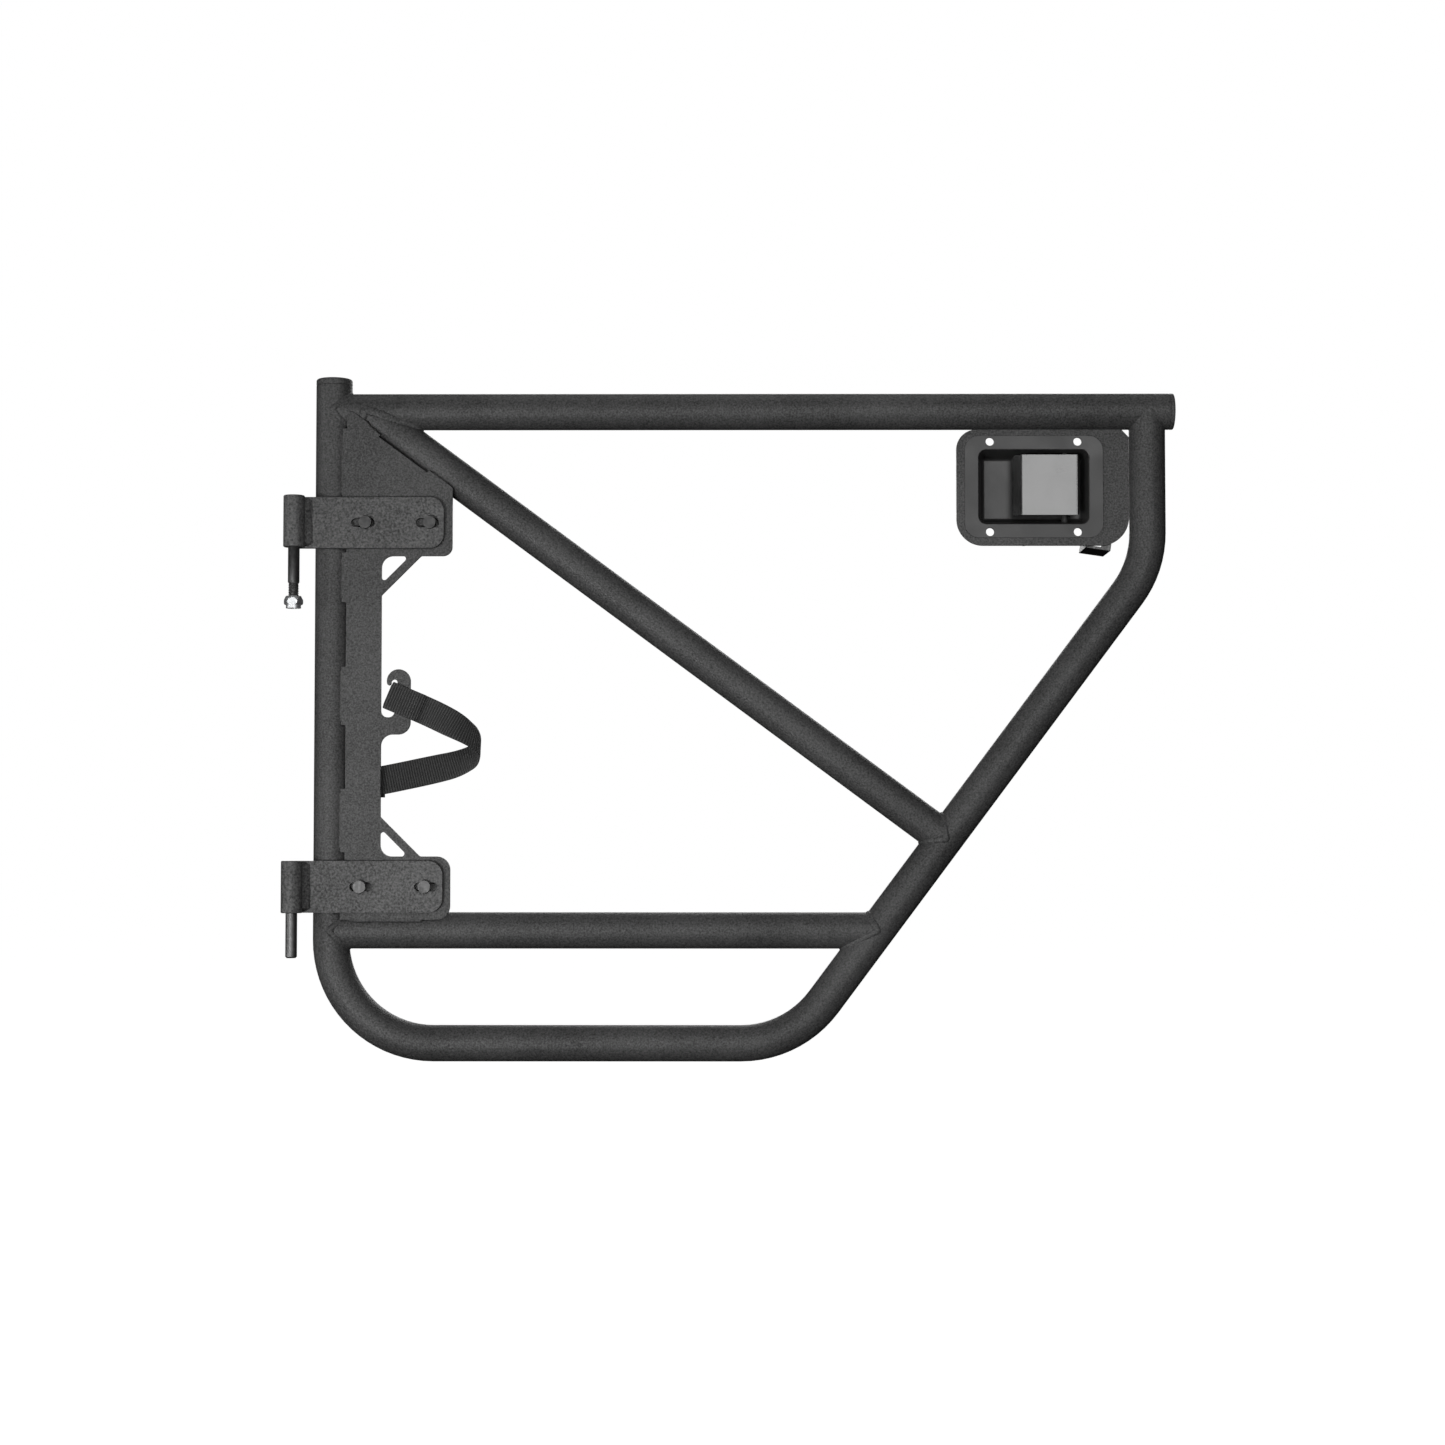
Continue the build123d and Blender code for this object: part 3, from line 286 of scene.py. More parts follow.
NODE_MATERIALS = {
    FRAME_COAT: (
        "hoop_tube",
        "top_rail",
        "lower_rail",
        "diagonal_brace",
        "front_tube_cap",
        "rear_tube_cap",
        "hinge_plate",
        "latch_plate",
        "strap_anchor",
    ),
    HINGE_COAT: ("upper_hinge_arm", "lower_hinge_arm", "upper_knuckle", "lower_knuckle"),
    SATIN_BLACK: ("latch_dish",),
    GLOSS_BLACK: ("paddle_handle",),
    BLACK_OXIDE: (
        "hinge_bolts",
        "hinge_washers",
        "hinge_nuts",
        "bolt_guide",
        "striker_guide",
        "crank_lever",
    ),
    DULL_BLACK: ("paddle_shaft",),
    PIN_STEEL: ("lower_hinge_pin", "upper_hinge_pin"),
    ZINC: ("pin_lock_nut", "latch_bolt"),
    SPRING_STEEL: ("shaft_clip", "bolt_tail_clip", "bolt_spring"),
    WEBBING: ("check_strap", "strap_end_loop", "strap_tail_loop"),
    NYLON: ("pin_nut_insert",),
}

# Width in millimetres of the rounded edges that the coat or the press leaves on each CAD node.
EDGE_ROUNDING = {
    "hoop_tube": 0.7,
    "top_rail": 0.7,
    "front_tube_cap": 0.8,
    "rear_tube_cap": 0.8,
    "hinge_plate": 0.7,
    "latch_plate": 0.6,
    "upper_hinge_arm": 0.9,
    "lower_hinge_arm": 0.9,
    "striker_guide": 0.5,
    "bolt_guide": 0.4,
    "crank_lever": 0.4,
    "hinge_bolts": 0.35,
    "hinge_nuts": 0.35,
    "hinge_washers": 0.25,
    "latch_bolt": 0.4,
    "paddle_handle": 0.7,
    "latch_dish": 0.4,
}


JOINED_WITHIN = 0.002 * MM
FLAT_WITHIN_DEG = 0.6
SHARP_FROM_DEG = 38


def dress(node, material):
    """Gives a CAD node its material, and rounds its sharp edges."""
    piece = NODES[node]
    piece.data.materials.clear()
    piece.data.materials.append(material)
    if node not in EDGE_ROUNDING:
        return
    weld = piece.modifiers.new("joined_corners", "WELD")
    weld.merge_threshold = JOINED_WITHIN
    flat = piece.modifiers.new("whole_faces", "DECIMATE")
    flat.decimate_type = "DISSOLVE"
    flat.angle_limit = math.radians(FLAT_WITHIN_DEG)
    edge = piece.modifiers.new("rounded_edges", "BEVEL")
    edge.width = EDGE_ROUNDING[node] * MM
    edge.segments = 3
    edge.limit_method = "ANGLE"
    edge.angle_limit = math.radians(SHARP_FROM_DEG)
    piece.modifiers.new("face_normals", "WEIGHTED_NORMAL")


for material, names in NODE_MATERIALS.items():
    for name in names:
        dress(name, material)


# ---------------------------------------------------------------- mesh helpers
def in_plane(x, z):
    """Point or way in the plane of the tubes' centre lines, or in one parallel to it."""
    return Vector((x, 0, z))


def ring_round(centre, one_way, other_way, radius, sides):
    """Circle of points round a centre, across two ways."""
    turns = [2 * math.pi * k / sides for k in range(sides)]
    return [centre + one_way * (radius * math.cos(t)) + other_way * (radius * math.sin(t)) for t in turns]


def piece_from(name, mesh, material, body):
    """New piece on a body, smooth-shaded."""
    mesh.normal_update()
    data = bpy.data.meshes.new(name)
    mesh.to_mesh(data)
    mesh.free()
    piece = bpy.data.objects.new(name, data)
    bpy.context.scene.collection.objects.link(piece)
    data.materials.append(material)
    for polygon in data.polygons:
        polygon.use_smooth = True
    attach(piece, body)
    return piece


def skin(mesh, rings, closed):
    """Joins rings of points with quads, and caps the ends of an open run."""
    made = [[mesh.verts.new(point) for point in ring] for ring in rings]
    count = len(made[0])
    pairs = list(zip(made, made[1:]))
    if closed:
        pairs.append((made[-1], made[0]))
    for first, second in pairs:
        for i in range(count):
            j = (i + 1) % count
            mesh.faces.new((first[i], first[j], second[j], second[i]))
    if not closed:
        mesh.faces.new(made[0][::-1])
        mesh.faces.new(made[-1])


def tangents(points, closed):
    """Direction of a line of points at each point."""
    count = len(points)
    result = []
    for i in range(count):
        before = points[(i - 1) % count] if closed or i > 0 else points[i]
        after = points[(i + 1) % count] if closed or i < count - 1 else points[i]
        result.append((after - before).normalized())
    return result


def evenly(points, step, closed=False):
    """Points a given step apart along a line of points."""
    line = points + points[:1] if closed else points
    lengths = [0.0]
    for a, b in zip(line, line[1:]):
        lengths.append(lengths[-1] + (b - a).length)
    count = max(2, round(lengths[-1] / step))
    result = []
    k = 0
    for i in range(count if closed else count + 1):
        s = lengths[-1] * i / count
        while k < len(line) - 2 and lengths[k + 1] < s:
            k += 1
        share = (s - lengths[k]) / max(lengths[k + 1] - lengths[k], 1e-9)
        result.append(line[k].lerp(line[k + 1], min(share, 1.0)))
    return result


# ---------------------------------------------------------------- weld beads
BEAD_STEP = 0.8 * MM
RIPPLE_PITCH = 3.4 * MM
BEAD_SIDES = 14
RIPPLE_LAG = 0.9 * MM
RIPPLE_SHARE = 0.10
TROUGH_SIZE = 0.92
FIRST_END_SIZE = 0.35
END_GROWTH = 0.25
LONG_WANDER = 7.3 * MM
SHORT_WANDER = 2.9 * MM
JOINT_POINTS = 120
BRANCH_LEAN = 0.05


def bead(mesh, points, outward, rise, half_width, closed=False):
    """Weld bead along a line: rippled like overlapping drops, and standing proud along outward(point)."""
    points = evenly(points, BEAD_STEP, closed)
    ways = tangents(points, closed)
    rings = []
    distance = 0.0
    for i, (point, way) in enumerate(zip(points, ways)):
        distance += (point - points[i - 1]).length if i else 0.0
        out = outward(point)
        out = (out - way * out.dot(way)).normalized()
        side = way.cross(out)
        from_end = min(i, len(points) - 1 - i)
        ends = 1.0 if closed else min(1.0, FIRST_END_SIZE + END_GROWTH * from_end)
        wander = 1.0 + 0.07 * math.sin(distance / LONG_WANDER) + 0.05 * math.sin(distance / SHORT_WANDER + 1)
        ring = []
        for k in range(BEAD_SIDES):
            turn = 2 * math.pi * k / BEAD_SIDES
            lag = RIPPLE_LAG * math.sin(turn) ** 2
            ripple = 0.5 + 0.5 * math.cos(2 * math.pi * (distance + lag) / RIPPLE_PITCH)
            size = ends * wander * (TROUGH_SIZE + RIPPLE_SHARE * ripple)
            up = out * (rise * size * math.cos(turn))
            ring.append(point + up + side * (half_width * size * math.sin(turn)))
        rings.append(ring)
    skin(mesh, rings, closed)


def tube_joint(main_point, main_way, branch_point, branch_way):
    """Line round a branch tube where it meets a main tube of the same size, in the door's plane."""
    normal = in_plane(-main_way.z, main_way.x)
    if branch_way.dot(normal) < 0:
        normal = -normal
    across = in_plane(-branch_way.z, branch_way.x)
    line = []
    for i in range(JOINT_POINTS):
        turn = 2 * math.pi * (i + 0.5) / JOINT_POINTS
        lift = TUBE_RADIUS * abs(math.cos(turn))
        base = branch_point + across * (TUBE_RADIUS * math.cos(turn))
        run = (lift - (base - main_point).dot(normal)) / branch_way.dot(normal)
        line.append(base + branch_way * run + Vector((0, TUBE_RADIUS * math.sin(turn), 0)))
    return line


def between_tubes(main_point, main_way, branch_point, branch_way):
    """Outward way of a bead in the corner between two tubes: half way between their surfaces' own."""

    def outward(point):
        from_main = point - main_point
        from_main -= main_way * from_main.dot(main_way)
        from_branch = point - branch_point
        from_branch -= branch_way * from_branch.dot(branch_way)
        return from_main.normalized() + from_branch.normalized() + branch_way * BRANCH_LEAN

    return outward


def tube(point_x, point_z, way_x, way_z):
    """A tube's centre line as a point and a way."""
    return Vector((point_x, TUBE_Y, point_z)), in_plane(way_x, way_z).normalized()


# Centre lines of the slanted run and of the brace, whose boxes don't give them, at the CAD model's sizes.
SLANT_FOOT = (520.7 * MM, -137.0 * MM)
SLANT_HEAD = (REAR_X, 364.0 * MM)
BRACE_HEAD = (71.0 * MM, RAIL_Z)
BRACE_SLOPE = -0.74
upright = tube(FRONT_X, 0, 0, 1)
rear_upright = tube(REAR_X, 0, 0, -1)
top_rail = tube(0, RAIL_Z, 1, 0)
lower_rail = tube(0, LOWER_RAIL_Z, 1, 0)
lower_rail_back = tube(0, LOWER_RAIL_Z, -1, 0)
slant = tube(*SLANT_FOOT, SLANT_HEAD[0] - SLANT_FOOT[0], SLANT_HEAD[1] - SLANT_FOOT[1])
brace = tube(*BRACE_HEAD, 1, BRACE_SLOPE)
brace_back = tube(*BRACE_HEAD, -1, -BRACE_SLOPE)
# Each joint: main tube, branch tube, the bead's rise and its half width in millimetres.
TUBE_JOINTS = (
    (upright, top_rail, 1.2, 3.0),
    (upright, lower_rail, 1.4, 3.2),
    (top_rail, brace, 2.0, 4.8),
    (top_rail, rear_upright, 0.4, 2.0),
    (slant, lower_rail_back, 1.5, 3.4),
    (slant, brace_back, 1.5, 3.4),
)
mesh = bmesh.new()
for main, branch, rise, half_width in TUBE_JOINTS:
    joint = tube_joint(*main, *branch)
    bead(mesh, joint, between_tubes(*main, *branch), rise * MM, half_width * MM, closed=True)
piece_from("frame_weld_beads", mesh, FRAME_COAT, "door_frame")

# Stitch welds hold the hinge plate's edges to the tubes, between its notches. Their ends are in
# millimetres along Z at the upright and along X elsewhere.
LEFT_STITCHES = ((66, 126), (200, 254), (329, 373), (438, 504))
SLANT_STITCHES = ((72, 84), (141, 158))
RAIL_STITCH = (57, 134)
STITCH_RADIUS = 2.6 * MM
SEAM_RADIUS = 1.7 * MM
SEAT_DEPTH = 1.6 * MM
LEFT_GAP = 0.4 * MM
LEFT_SINK = 0.8 * MM
BOTTOM_GAP = 0.8 * MM
seat_y = plate_high.y - SEAT_DEPTH


def slant_edge(x):
    """Point on the hinge plate's slanted edge, in millimetres along X."""
    contact = math.sqrt(TUBE_RADIUS**2 - (TUBE_Y - plate_high.y) ** 2)
    z = BRACE_HEAD[1] + BRACE_SLOPE * (x * MM - BRACE_HEAD[0]) - contact * math.hypot(1, BRACE_SLOPE)
    return Vector((x * MM, seat_y, z))


mesh = bmesh.new()
for low, high in LEFT_STITCHES:
    line = [Vector((plate_low.x - LEFT_GAP, seat_y + LEFT_SINK, z * MM)) for z in (low, high)]
    bead(mesh, line, lambda point: Vector((-0.5, -1, 0)), SEAM_RADIUS, SEAM_RADIUS)
for low, high in SLANT_STITCHES:
    seam = [slant_edge(low), slant_edge(high)]
    bead(mesh, seam, lambda point: Vector((0.2, -1, 0.3)), SEAM_RADIUS, SEAM_RADIUS)
line = [Vector((x * MM, seat_y, plate_low.z - BOTTOM_GAP)) for x in RAIL_STITCH]
bead(mesh, line, lambda point: Vector((0, -1, -0.5)), STITCH_RADIUS, STITCH_RADIUS)
piece_from("hinge_plate_stitch_welds", mesh, FRAME_COAT, "door_frame")

# A cap of weld metal, dressed flat, carries the plate's tip up over the front of the top rail.
CAP_OUTLINE = (
    (51.8, 511.0),
    (51.8, 520.0),
    (52.6, 523.6),
    (54.8, 525.9),
    (57.6, 526.3),
    (60.4, 524.6),
    (74.5, 514.2),
    (76.0, 511.0),
)
CAP_PROUD = 0.25 * MM
CAP_DEPTH = 6.0 * MM
CAP_EDGE = 1.0 * MM
# Depth behind the cap's face and inset from its outline, from its foot to its face.
CAP_STEPS = ((CAP_DEPTH, 0.0), (CAP_EDGE, 0.0), (0.3 * CAP_EDGE, 0.35 * CAP_EDGE), (0.0, CAP_EDGE))


def apex_cap():
    """Flat cap with a rounded edge, drawn in millimetres along X and Z."""
    front_y = plate_low.y - CAP_PROUD
    outline = [in_plane(x * MM, z * MM) for x, z in CAP_OUTLINE]
    middle = sum(outline, Vector()) / len(outline)
    rings = []
    for depth, inset in CAP_STEPS:
        ring = []
        for corner in outline:
            point = corner + (middle - corner).normalized() * inset
            point.y = front_y + depth
            ring.append(point)
        rings.append(ring)
    mesh = bmesh.new()
    skin(mesh, rings, False)
    piece = piece_from("plate_apex_cap", mesh, FRAME_COAT, "door_frame")
    piece.modifiers.new("face_normals", "WEIGHTED_NORMAL")


apex_cap()

# Fillet welds hold each knuckle's side to the outside of its arm.
FILLET_RISE = 2.6 * MM
FILLET_HALF_WIDTH = 7.2 * MM
FILLET_END_GAP = 2.5 * MM
FILLET_OUT = 1.0 * MM
FILLET_PROUD = 1.5 * MM


def knuckle_fillet(side, hinge):
    """Bead in the corner between one hinge's knuckle and the outside of its arm."""
    knuckle_low, knuckle_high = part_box(side + "_knuckle")
    arm_low, arm_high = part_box(side + "_hinge_arm")
    x = (knuckle_high.x - knuckle_low.x) / 2 + FILLET_OUT
    y = arm_low.y - FILLET_PROUD
    low = max(knuckle_low.z, arm_low.z) + FILLET_END_GAP
    high = min(knuckle_high.z, arm_high.z) - FILLET_END_GAP
    mesh = bmesh.new()
    line = [Vector((x, y, low)), Vector((x, y, high))]
    bead(mesh, line, lambda point: Vector((0.55, -1, 0)), FILLET_RISE, FILLET_HALF_WIDTH)
    piece_from(side + "_knuckle_weld", mesh, HINGE_COAT, hinge)


knuckle_fillet("upper", "upper_hinge")
knuckle_fillet("lower", "lower_hinge")

# ---------------------------------------------------------------- threaded end of the upper pin
PIN_RADIUS = 6.0 * MM
PIN_SHANK_RADIUS = 6.5 * MM
PLAIN_LENGTH = 37.6 * MM
THREAD_RADIUS = 5.5 * MM
THREAD_PITCH = 1.75 * MM
THREAD_DEPTH = 0.95 * MM
THREAD_STEP = 0.125 * MM
THREAD_FLANK = 2.3
TIP_CHAMFER = 0.6 * MM
THREAD_STOP = 1.0 * MM
LEAD_IN = 1.6 * MM
LEAD_IN_START = 0.25
PLAIN_CHAMFER = 0.7 * MM
SHOULDER_RISE = 0.1 * MM
PIN_SIDES = 48


def turned_ring(z, radius):
    """Ring round the hinge axis; radius is a number or a rule of the turn from 0 to 1."""
    ring = []
    for k in range(PIN_SIDES):
        share = k / PIN_SIDES
        turn = 2 * math.pi * share
        r = radius(share) if callable(radius) else radius
        ring.append(Vector((r * math.cos(turn), r * math.sin(turn), z)))
    return ring


def threaded_pin():
    """Upper hinge pin: shank in the knuckle, plain stretch, and the thread that the lock nut runs on."""
    pin_low, pin_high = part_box("upper_hinge_pin")
    knuckle_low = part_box("upper_knuckle")[0]
    root = THREAD_RADIUS - THREAD_DEPTH
    plain_low_z = knuckle_low.z - PLAIN_LENGTH
    count = round((plain_low_z - pin_low.z - THREAD_STOP) / THREAD_STEP)
    rings = [turned_ring(pin_low.z, root)]
    for i in range(count + 1):
        z = pin_low.z + TIP_CHAMFER + i * THREAD_STEP
        lead_in = min(1.0, LEAD_IN_START + i * THREAD_STEP / LEAD_IN)

        def thread(share):
            phase = (z / THREAD_PITCH - share) % 1.0
            return root + THREAD_DEPTH * lead_in * min(1.0, THREAD_FLANK * abs(phase - 0.5))

        rings.append(turned_ring(z, thread))
    for z, radius in (
        (plain_low_z, PIN_RADIUS - PLAIN_CHAMFER),
        (plain_low_z + PLAIN_CHAMFER, PIN_RADIUS),
        (knuckle_low.z, PIN_RADIUS),
        (knuckle_low.z + SHOULDER_RISE, PIN_SHANK_RADIUS),
        (pin_high.z, PIN_SHANK_RADIUS),
    ):
        rings.append(turned_ring(z, radius))
    mesh = bmesh.new()
    skin(mesh, rings, False)
    pin = piece_from("upper_pin_threaded", mesh, PIN_STEEL, "upper_hinge")
    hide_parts("upper_hinge_pin")


threaded_pin()

# ---------------------------------------------------------------- bolt spring
WIRE_RADIUS = 0.8 * MM
SPRING_TURNS = 8
SPRING_DEAD_TURNS = 1
CLOSED_PITCH = 2 * WIRE_RADIUS
STEPS_PER_TURN = 32
WIRE_SIDES = 10
spring_low, spring_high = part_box("bolt_spring")


def spring_line():
    """Centre line of the coil: closed turns at both ends and open turns between."""
    middle = (spring_low + spring_high) / 2
    radius = (spring_high.z - spring_low.z) / 2 - WIRE_RADIUS
    run = spring_high.x - spring_low.x - 2 * WIRE_RADIUS
    open_run = run - 2 * SPRING_DEAD_TURNS * CLOSED_PITCH
    turns = SPRING_TURNS + 2 * SPRING_DEAD_TURNS
    line = []
    for i in range(turns * STEPS_PER_TURN + 1):
        turn = i / STEPS_PER_TURN
        live = min(max(turn - SPRING_DEAD_TURNS, 0), SPRING_TURNS) / SPRING_TURNS
        closed = turn - live * SPRING_TURNS
        x = spring_low.x + WIRE_RADIUS + closed * CLOSED_PITCH + live * open_run
        angle = 2 * math.pi * turn
        line.append(Vector((x, middle.y + radius * math.cos(angle), middle.z + radius * math.sin(angle))))
    return line


def round_wire(mesh, line, radius, sides):
    """Round wire along a line of points that keeps turning about the X axis."""
    rings = []
    for point, way in zip(line, tangents(line, False)):
        side = way.cross(Vector((1, 0, 0))).normalized()
        out = side.cross(way)
        rings.append(ring_round(point, side, out, radius, sides))
    skin(mesh, rings, False)


mesh = bmesh.new()
round_wire(mesh, spring_line(), WIRE_RADIUS, WIRE_SIDES)
spring = piece_from("bolt_coil_spring", mesh, SPRING_STEEL, "door_frame")
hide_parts("bolt_spring")
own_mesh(spring)

# ---------------------------------------------------------------- check strap
# The route's points are the CAD model's: from the fold at the hook's finger to behind the plate.
STRAP_ROUTE = [
    (0.1002, 0.0248, 0.2262),
    (0.1240, 0.0236, 0.2162),
    (0.1480, 0.0175, 0.2056),
    (0.1740, 0.0140, 0.1920),
    (0.1920, 0.0260, 0.1795),
    (0.1905, 0.0470, 0.1675),
    (0.1680, 0.0550, 0.1565),
    (0.1400, 0.0470, 0.1496),
    (0.1120, 0.0340, 0.1430),
    (0.0860, 0.0270, 0.1374),
    (0.0720, 0.0256, 0.1352),
]
STRAP_WIDTH = 30.0 * MM
STRAP_THICKNESS = 1.8 * MM
RIB_PITCH = 2.7 * MM
RIB_HEIGHT = 0.38 * MM
ACROSS = 20
SELVEDGE_FROM = 0.8
SELVEDGE_RIB = 0.35
GROOVE_AT = 0.84
GROOVE_SPREAD = 0.05
GROOVE_DEPTH = 0.22 * MM
EDGE_SQUARENESS = 14
EDGE_INSET = 0.1 * MM
THINNEST = 0.12 * MM
STRAP_STEPS = 64
FOLD_STEPS = 24
TURN_SHARE = 0.44
TURN_SPREAD = 0.13
TURN_LEAN_DEG = 24.0


def spline_points(name, route, steps):
    """Points along the smooth NURBS line that has the route's points as its control points."""
    curve = bpy.data.curves.new(name, "CURVE")
    curve.dimensions = "3D"
    curve.resolution_u = steps
    spline = curve.splines.new("NURBS")
    spline.points.add(len(route) - 1)
    for point, place in zip(spline.points, route):
        point.co = (*place, 1)
    spline.order_u = 3
    spline.use_endpoint_u = True
    holder = bpy.data.objects.new(name, curve)
    line = bpy.data.meshes.new_from_object(holder)
    points = [vertex.co.copy() for vertex in line.vertices]
    bpy.data.objects.remove(holder)
    bpy.data.curves.remove(curve)
    bpy.data.meshes.remove(line)
    return points


def turn_lean(share):
    """Lean of the strap in radians: one way as it comes into its half turn, the other as it leaves."""
    x = (share - TURN_SHARE) / TURN_SPREAD
    return -math.radians(TURN_LEAN_DEG) * x * math.exp((1 - x * x) / 2)


def no_lean(share):
    """No lean."""
    return 0.0


def webbing(name, points, width_way, lean=no_lean):
    """Flat webbing along a line, with woven ribs across it, a firm selvedge on each edge, and a rib
    attribute of painted shade that is light on each rib's crest and dark in its trough.
    """
    rings = []
    shades = []
    distance = 0.0
    for i, (point, way) in enumerate(zip(points, tangents(points, False))):
        distance += (point - points[i - 1]).length if i else 0.0
        wide = (width_way - way * width_way.dot(way)).normalized()
        angle = lean(i / (len(points) - 1))
        wide = wide * math.cos(angle) + wide.cross(way) * math.sin(angle)
        thick = wide.cross(way)
        crest = math.cos(2 * math.pi * distance / RIB_PITCH)
        rib = RIB_HEIGHT * crest
        front = []
        back = []
        for k in range(ACROSS + 1):
            share = 2 * k / ACROSS - 1
            rounding = math.sqrt(max(0.0, 1 - abs(share) ** EDGE_SQUARENESS))
            groove = GROOVE_DEPTH * math.exp(-(((abs(share) - GROOVE_AT) / GROOVE_SPREAD) ** 2))
            body = rib if abs(share) < SELVEDGE_FROM else SELVEDGE_RIB * rib
            half = max(THINNEST, (STRAP_THICKNESS / 2 + body - groove) * rounding)
            base = point + wide * (share * (STRAP_WIDTH / 2 - EDGE_INSET))
            front.append(base + thick * half)
            back.append(base - thick * half)
        rings.append(front + back[::-1])
        # Painted shade for the webbing's colour: light on the rib's crest, dark in its trough.
        shades += [0.5 + 0.5 * crest] * len(rings[-1])
    mesh = bmesh.new()
    skin(mesh, rings, False)
    piece = piece_from(name, mesh, WEBBING, "door_frame")
    piece.data.attributes.new("rib", "FLOAT", "POINT").data.foreach_set("value", shades)
    return piece


def on_plane(origin, s_way, points):
    """Points given in millimetres along s_way and along Y, from an origin."""
    return [origin + s_way * (s * MM) + Vector((0, y * MM, 0)) for s, y in points]


strap_line = spline_points("strap_route", STRAP_ROUTE, STRAP_STEPS)
strap = webbing("check_strap_webbing", strap_line, in_plane(0, 1), turn_lean)
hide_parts("check_strap")

# The fold round the hook's finger lies square to the run's first stretch.
first_run = Vector(STRAP_ROUTE[1]) - Vector(STRAP_ROUTE[0])
fold_way = in_plane(first_run.x, first_run.z).normalized()
fold_width_way = in_plane(-fold_way.z, fold_way.x)
fold_origin = in_plane(STRAP_ROUTE[0][0], STRAP_ROUTE[0][2])
# Both folds' routes are in millimetres: along the fold's own way from its origin, and along Y.
FOLD_ROUTE = (
    (33.5, 17.8),
    (31.0, 16.4),
    (26.0, 16.0),
    (14.0, 16.0),
    (2.0, 16.0),
    (-3.2, 16.0),
    (-3.2, 20.4),
    (-3.2, 24.8),
    (-0.4, 24.8),
)
fold_line = spline_points("fold_route", on_plane(fold_origin, fold_way, FOLD_ROUTE), FOLD_STEPS)
fold = webbing("strap_end_fold", fold_line, fold_width_way)
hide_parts("strap_end_loop")

TAIL_ROUTE = (
    (65.4, 25.6),
    (60.5, 25.6),
    (56.5, 25.6),
    (56.5, 30.0),
    (56.5, 34.4),
    (61.5, 34.4),
    (68.5, 34.4),
    (80.5, 29.2),
    (92.5, 31.0),
)
tail_origin = in_plane(0, STRAP_ROUTE[-1][2])
tail_line = spline_points("tail_route", on_plane(tail_origin, in_plane(1, 0), TAIL_ROUTE), FOLD_STEPS)
tail = webbing("strap_tail_fold", tail_line, in_plane(0, 1))
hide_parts("strap_tail_loop")

# Rows of stitches sew the front ply down behind the finger.
STITCH_ROWS = 6
FIRST_ROW = 11.5 * MM
ROW_PITCH = 3.0 * MM
ROW_MARGINS = 5.0 * MM
STITCH_LENGTH = 2.9 * MM
STITCH_GAP = 0.9 * MM
THREAD_HALF = 0.50 * MM
STITCH_STEPS = 8
STITCH_SIDES = 8
STITCH_PROUD = 0.05 * MM
FRONT_PLY_Y = 16.0 * MM
stitch_y = FRONT_PLY_Y - STRAP_THICKNESS / 2 - STITCH_PROUD


def stitch(mesh, middle, way, length):
    """One stitch: a short thread that dips into the webbing at both ends."""
    rings = []
    into_webbing = Vector((0, 1, 0))
    side = way.cross(into_webbing)
    for i in range(STITCH_STEPS + 1):
        share = i / STITCH_STEPS * 2 - 1
        dip = THREAD_HALF * 1.5 * share**4
        radius = THREAD_HALF * (1 - 0.35 * share**4)
        centre = middle + way * (share * length / 2) + into_webbing * dip
        rings.append(ring_round(centre, side, into_webbing, radius, STITCH_SIDES))
    skin(mesh, rings, False)


mesh = bmesh.new()
for row in range(STITCH_ROWS):
    row_middle = fold_origin + fold_way * (FIRST_ROW + ROW_PITCH * row)
    row_middle.y = stitch_y
    count = int((STRAP_WIDTH - ROW_MARGINS) / (STITCH_LENGTH + STITCH_GAP))
    for k in range(count):
        shift = (k - (count - 1) / 2) * (STITCH_LENGTH + STITCH_GAP)
        stitch(mesh, row_middle + fold_width_way * shift, fold_width_way, STITCH_LENGTH)
stitches = piece_from("strap_stitches", mesh, THREAD, "door_frame")

# ---------------------------------------------------------------- camera, lights and floor
CAMERA_PLACE = (0.4603, -2.8038, 0.0753)
CAMERA_PITCH_DEG = 2.5
CAMERA_YAW_DEG = 0.27
LENS_MM = 67.27
camera_data = bpy.data.cameras.new("camera")
camera = bpy.data.objects.new("camera", camera_data)
camera_data.lens = LENS_MM
camera_data.sensor_width = 36.0
camera.location = CAMERA_PLACE
camera.rotation_euler = (math.radians(90 + CAMERA_PITCH_DEG), 0, math.radians(CAMERA_YAW_DEG))
bpy.context.scene.collection.objects.link(camera)
bpy.context.scene.camera = camera


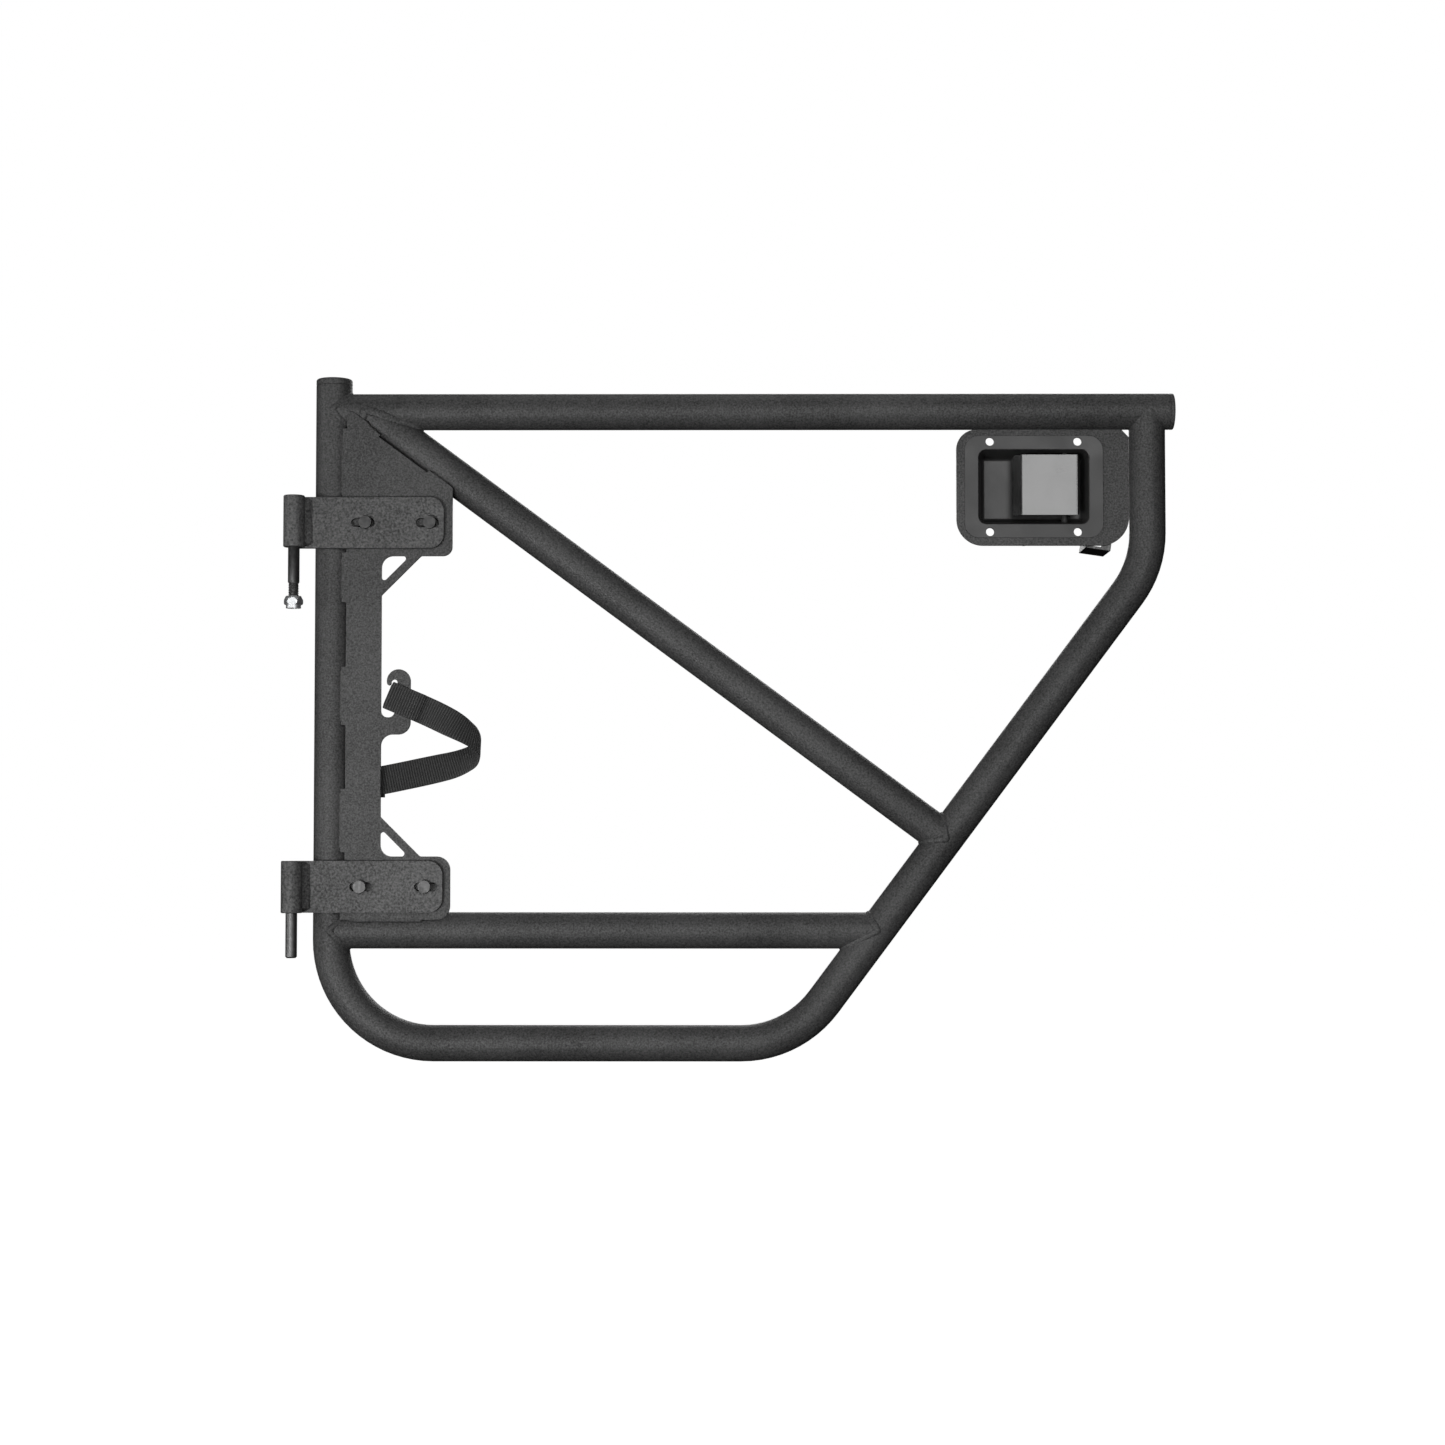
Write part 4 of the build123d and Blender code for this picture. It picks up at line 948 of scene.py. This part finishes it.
def soft_light(name, place, target, size, power):
    """Rectangular soft light that the camera doesn't see."""
    data = bpy.data.lights.new(name, "AREA")
    data.shape = "RECTANGLE"
    data.size, data.size_y = size
    data.energy = power
    light = bpy.data.objects.new(name, data)
    light.location = place
    light.rotation_euler = (Vector(target) - Vector(place)).to_track_quat("-Z", "Y").to_euler()
    light.visible_camera = False
    bpy.context.scene.collection.objects.link(light)


MIDDLE = (cad_box[0] + cad_box[1]) / 2
soft_light("key_light", MIDDLE + Vector((-1.1, -2.3, -0.75)), MIDDLE, (1.0, 0.8), 70)
soft_light("front_light", Vector((1.15, -2.95, 0.85)), Vector((0.78, 0, 0.4)), (1.5, 1.1), 29)
soft_light("back_light", MIDDLE + Vector((0.5, 2.6, 1.2)), MIDDLE, (2.2, 1.6), 40)
soft_light("side_light", MIDDLE + Vector((-2.6, -1.1, 0.1)), MIDDLE + Vector((-0.4, 0, 0)), (0.9, 1.5), 16)
soft_light("top_light", MIDDLE + Vector((0, 0.3, 2.4)), MIDDLE, (2.0, 2.0), 12)

world = bpy.data.worlds.new("studio")
bpy.context.scene.world = world
world.use_nodes = True
world.node_tree.nodes["Background"].inputs["Color"].default_value = (1, 1, 1, 1)
world.node_tree.nodes["Background"].inputs["Strength"].default_value = 1.0
world.cycles_visibility.diffuse = False
world.cycles_visibility.glossy = False

# The floor glows a little, so that it is as pale as the wall behind it however far away it is seen.
FLOOR_DROP = 0.35
FLOOR_SIZE = 60.0
bpy.ops.mesh.primitive_grid_add(x_subdivisions=2, y_subdivisions=2, size=FLOOR_SIZE)
floor = bpy.context.object
floor.name = "studio_floor"
floor.location = (MIDDLE.x, MIDDLE.y, cad_box[0].z - FLOOR_DROP)
floor.visible_glossy = False
floor.visible_diffuse = False
floor_paint = new_material("pale_floor")[0]
floor_shader = floor_paint.node_tree.nodes["Principled BSDF"]
floor_shader.inputs["Base Color"].default_value = (0.92, 0.92, 0.92, 1)
floor_shader.inputs["Roughness"].default_value = 0.9
floor_shader.inputs["Emission Color"].default_value = (1, 1, 1, 1)
floor_shader.inputs["Emission Strength"].default_value = 1.0
floor.data.materials.append(floor_paint)
bpy.context.scene.view_settings.view_transform = "Standard"
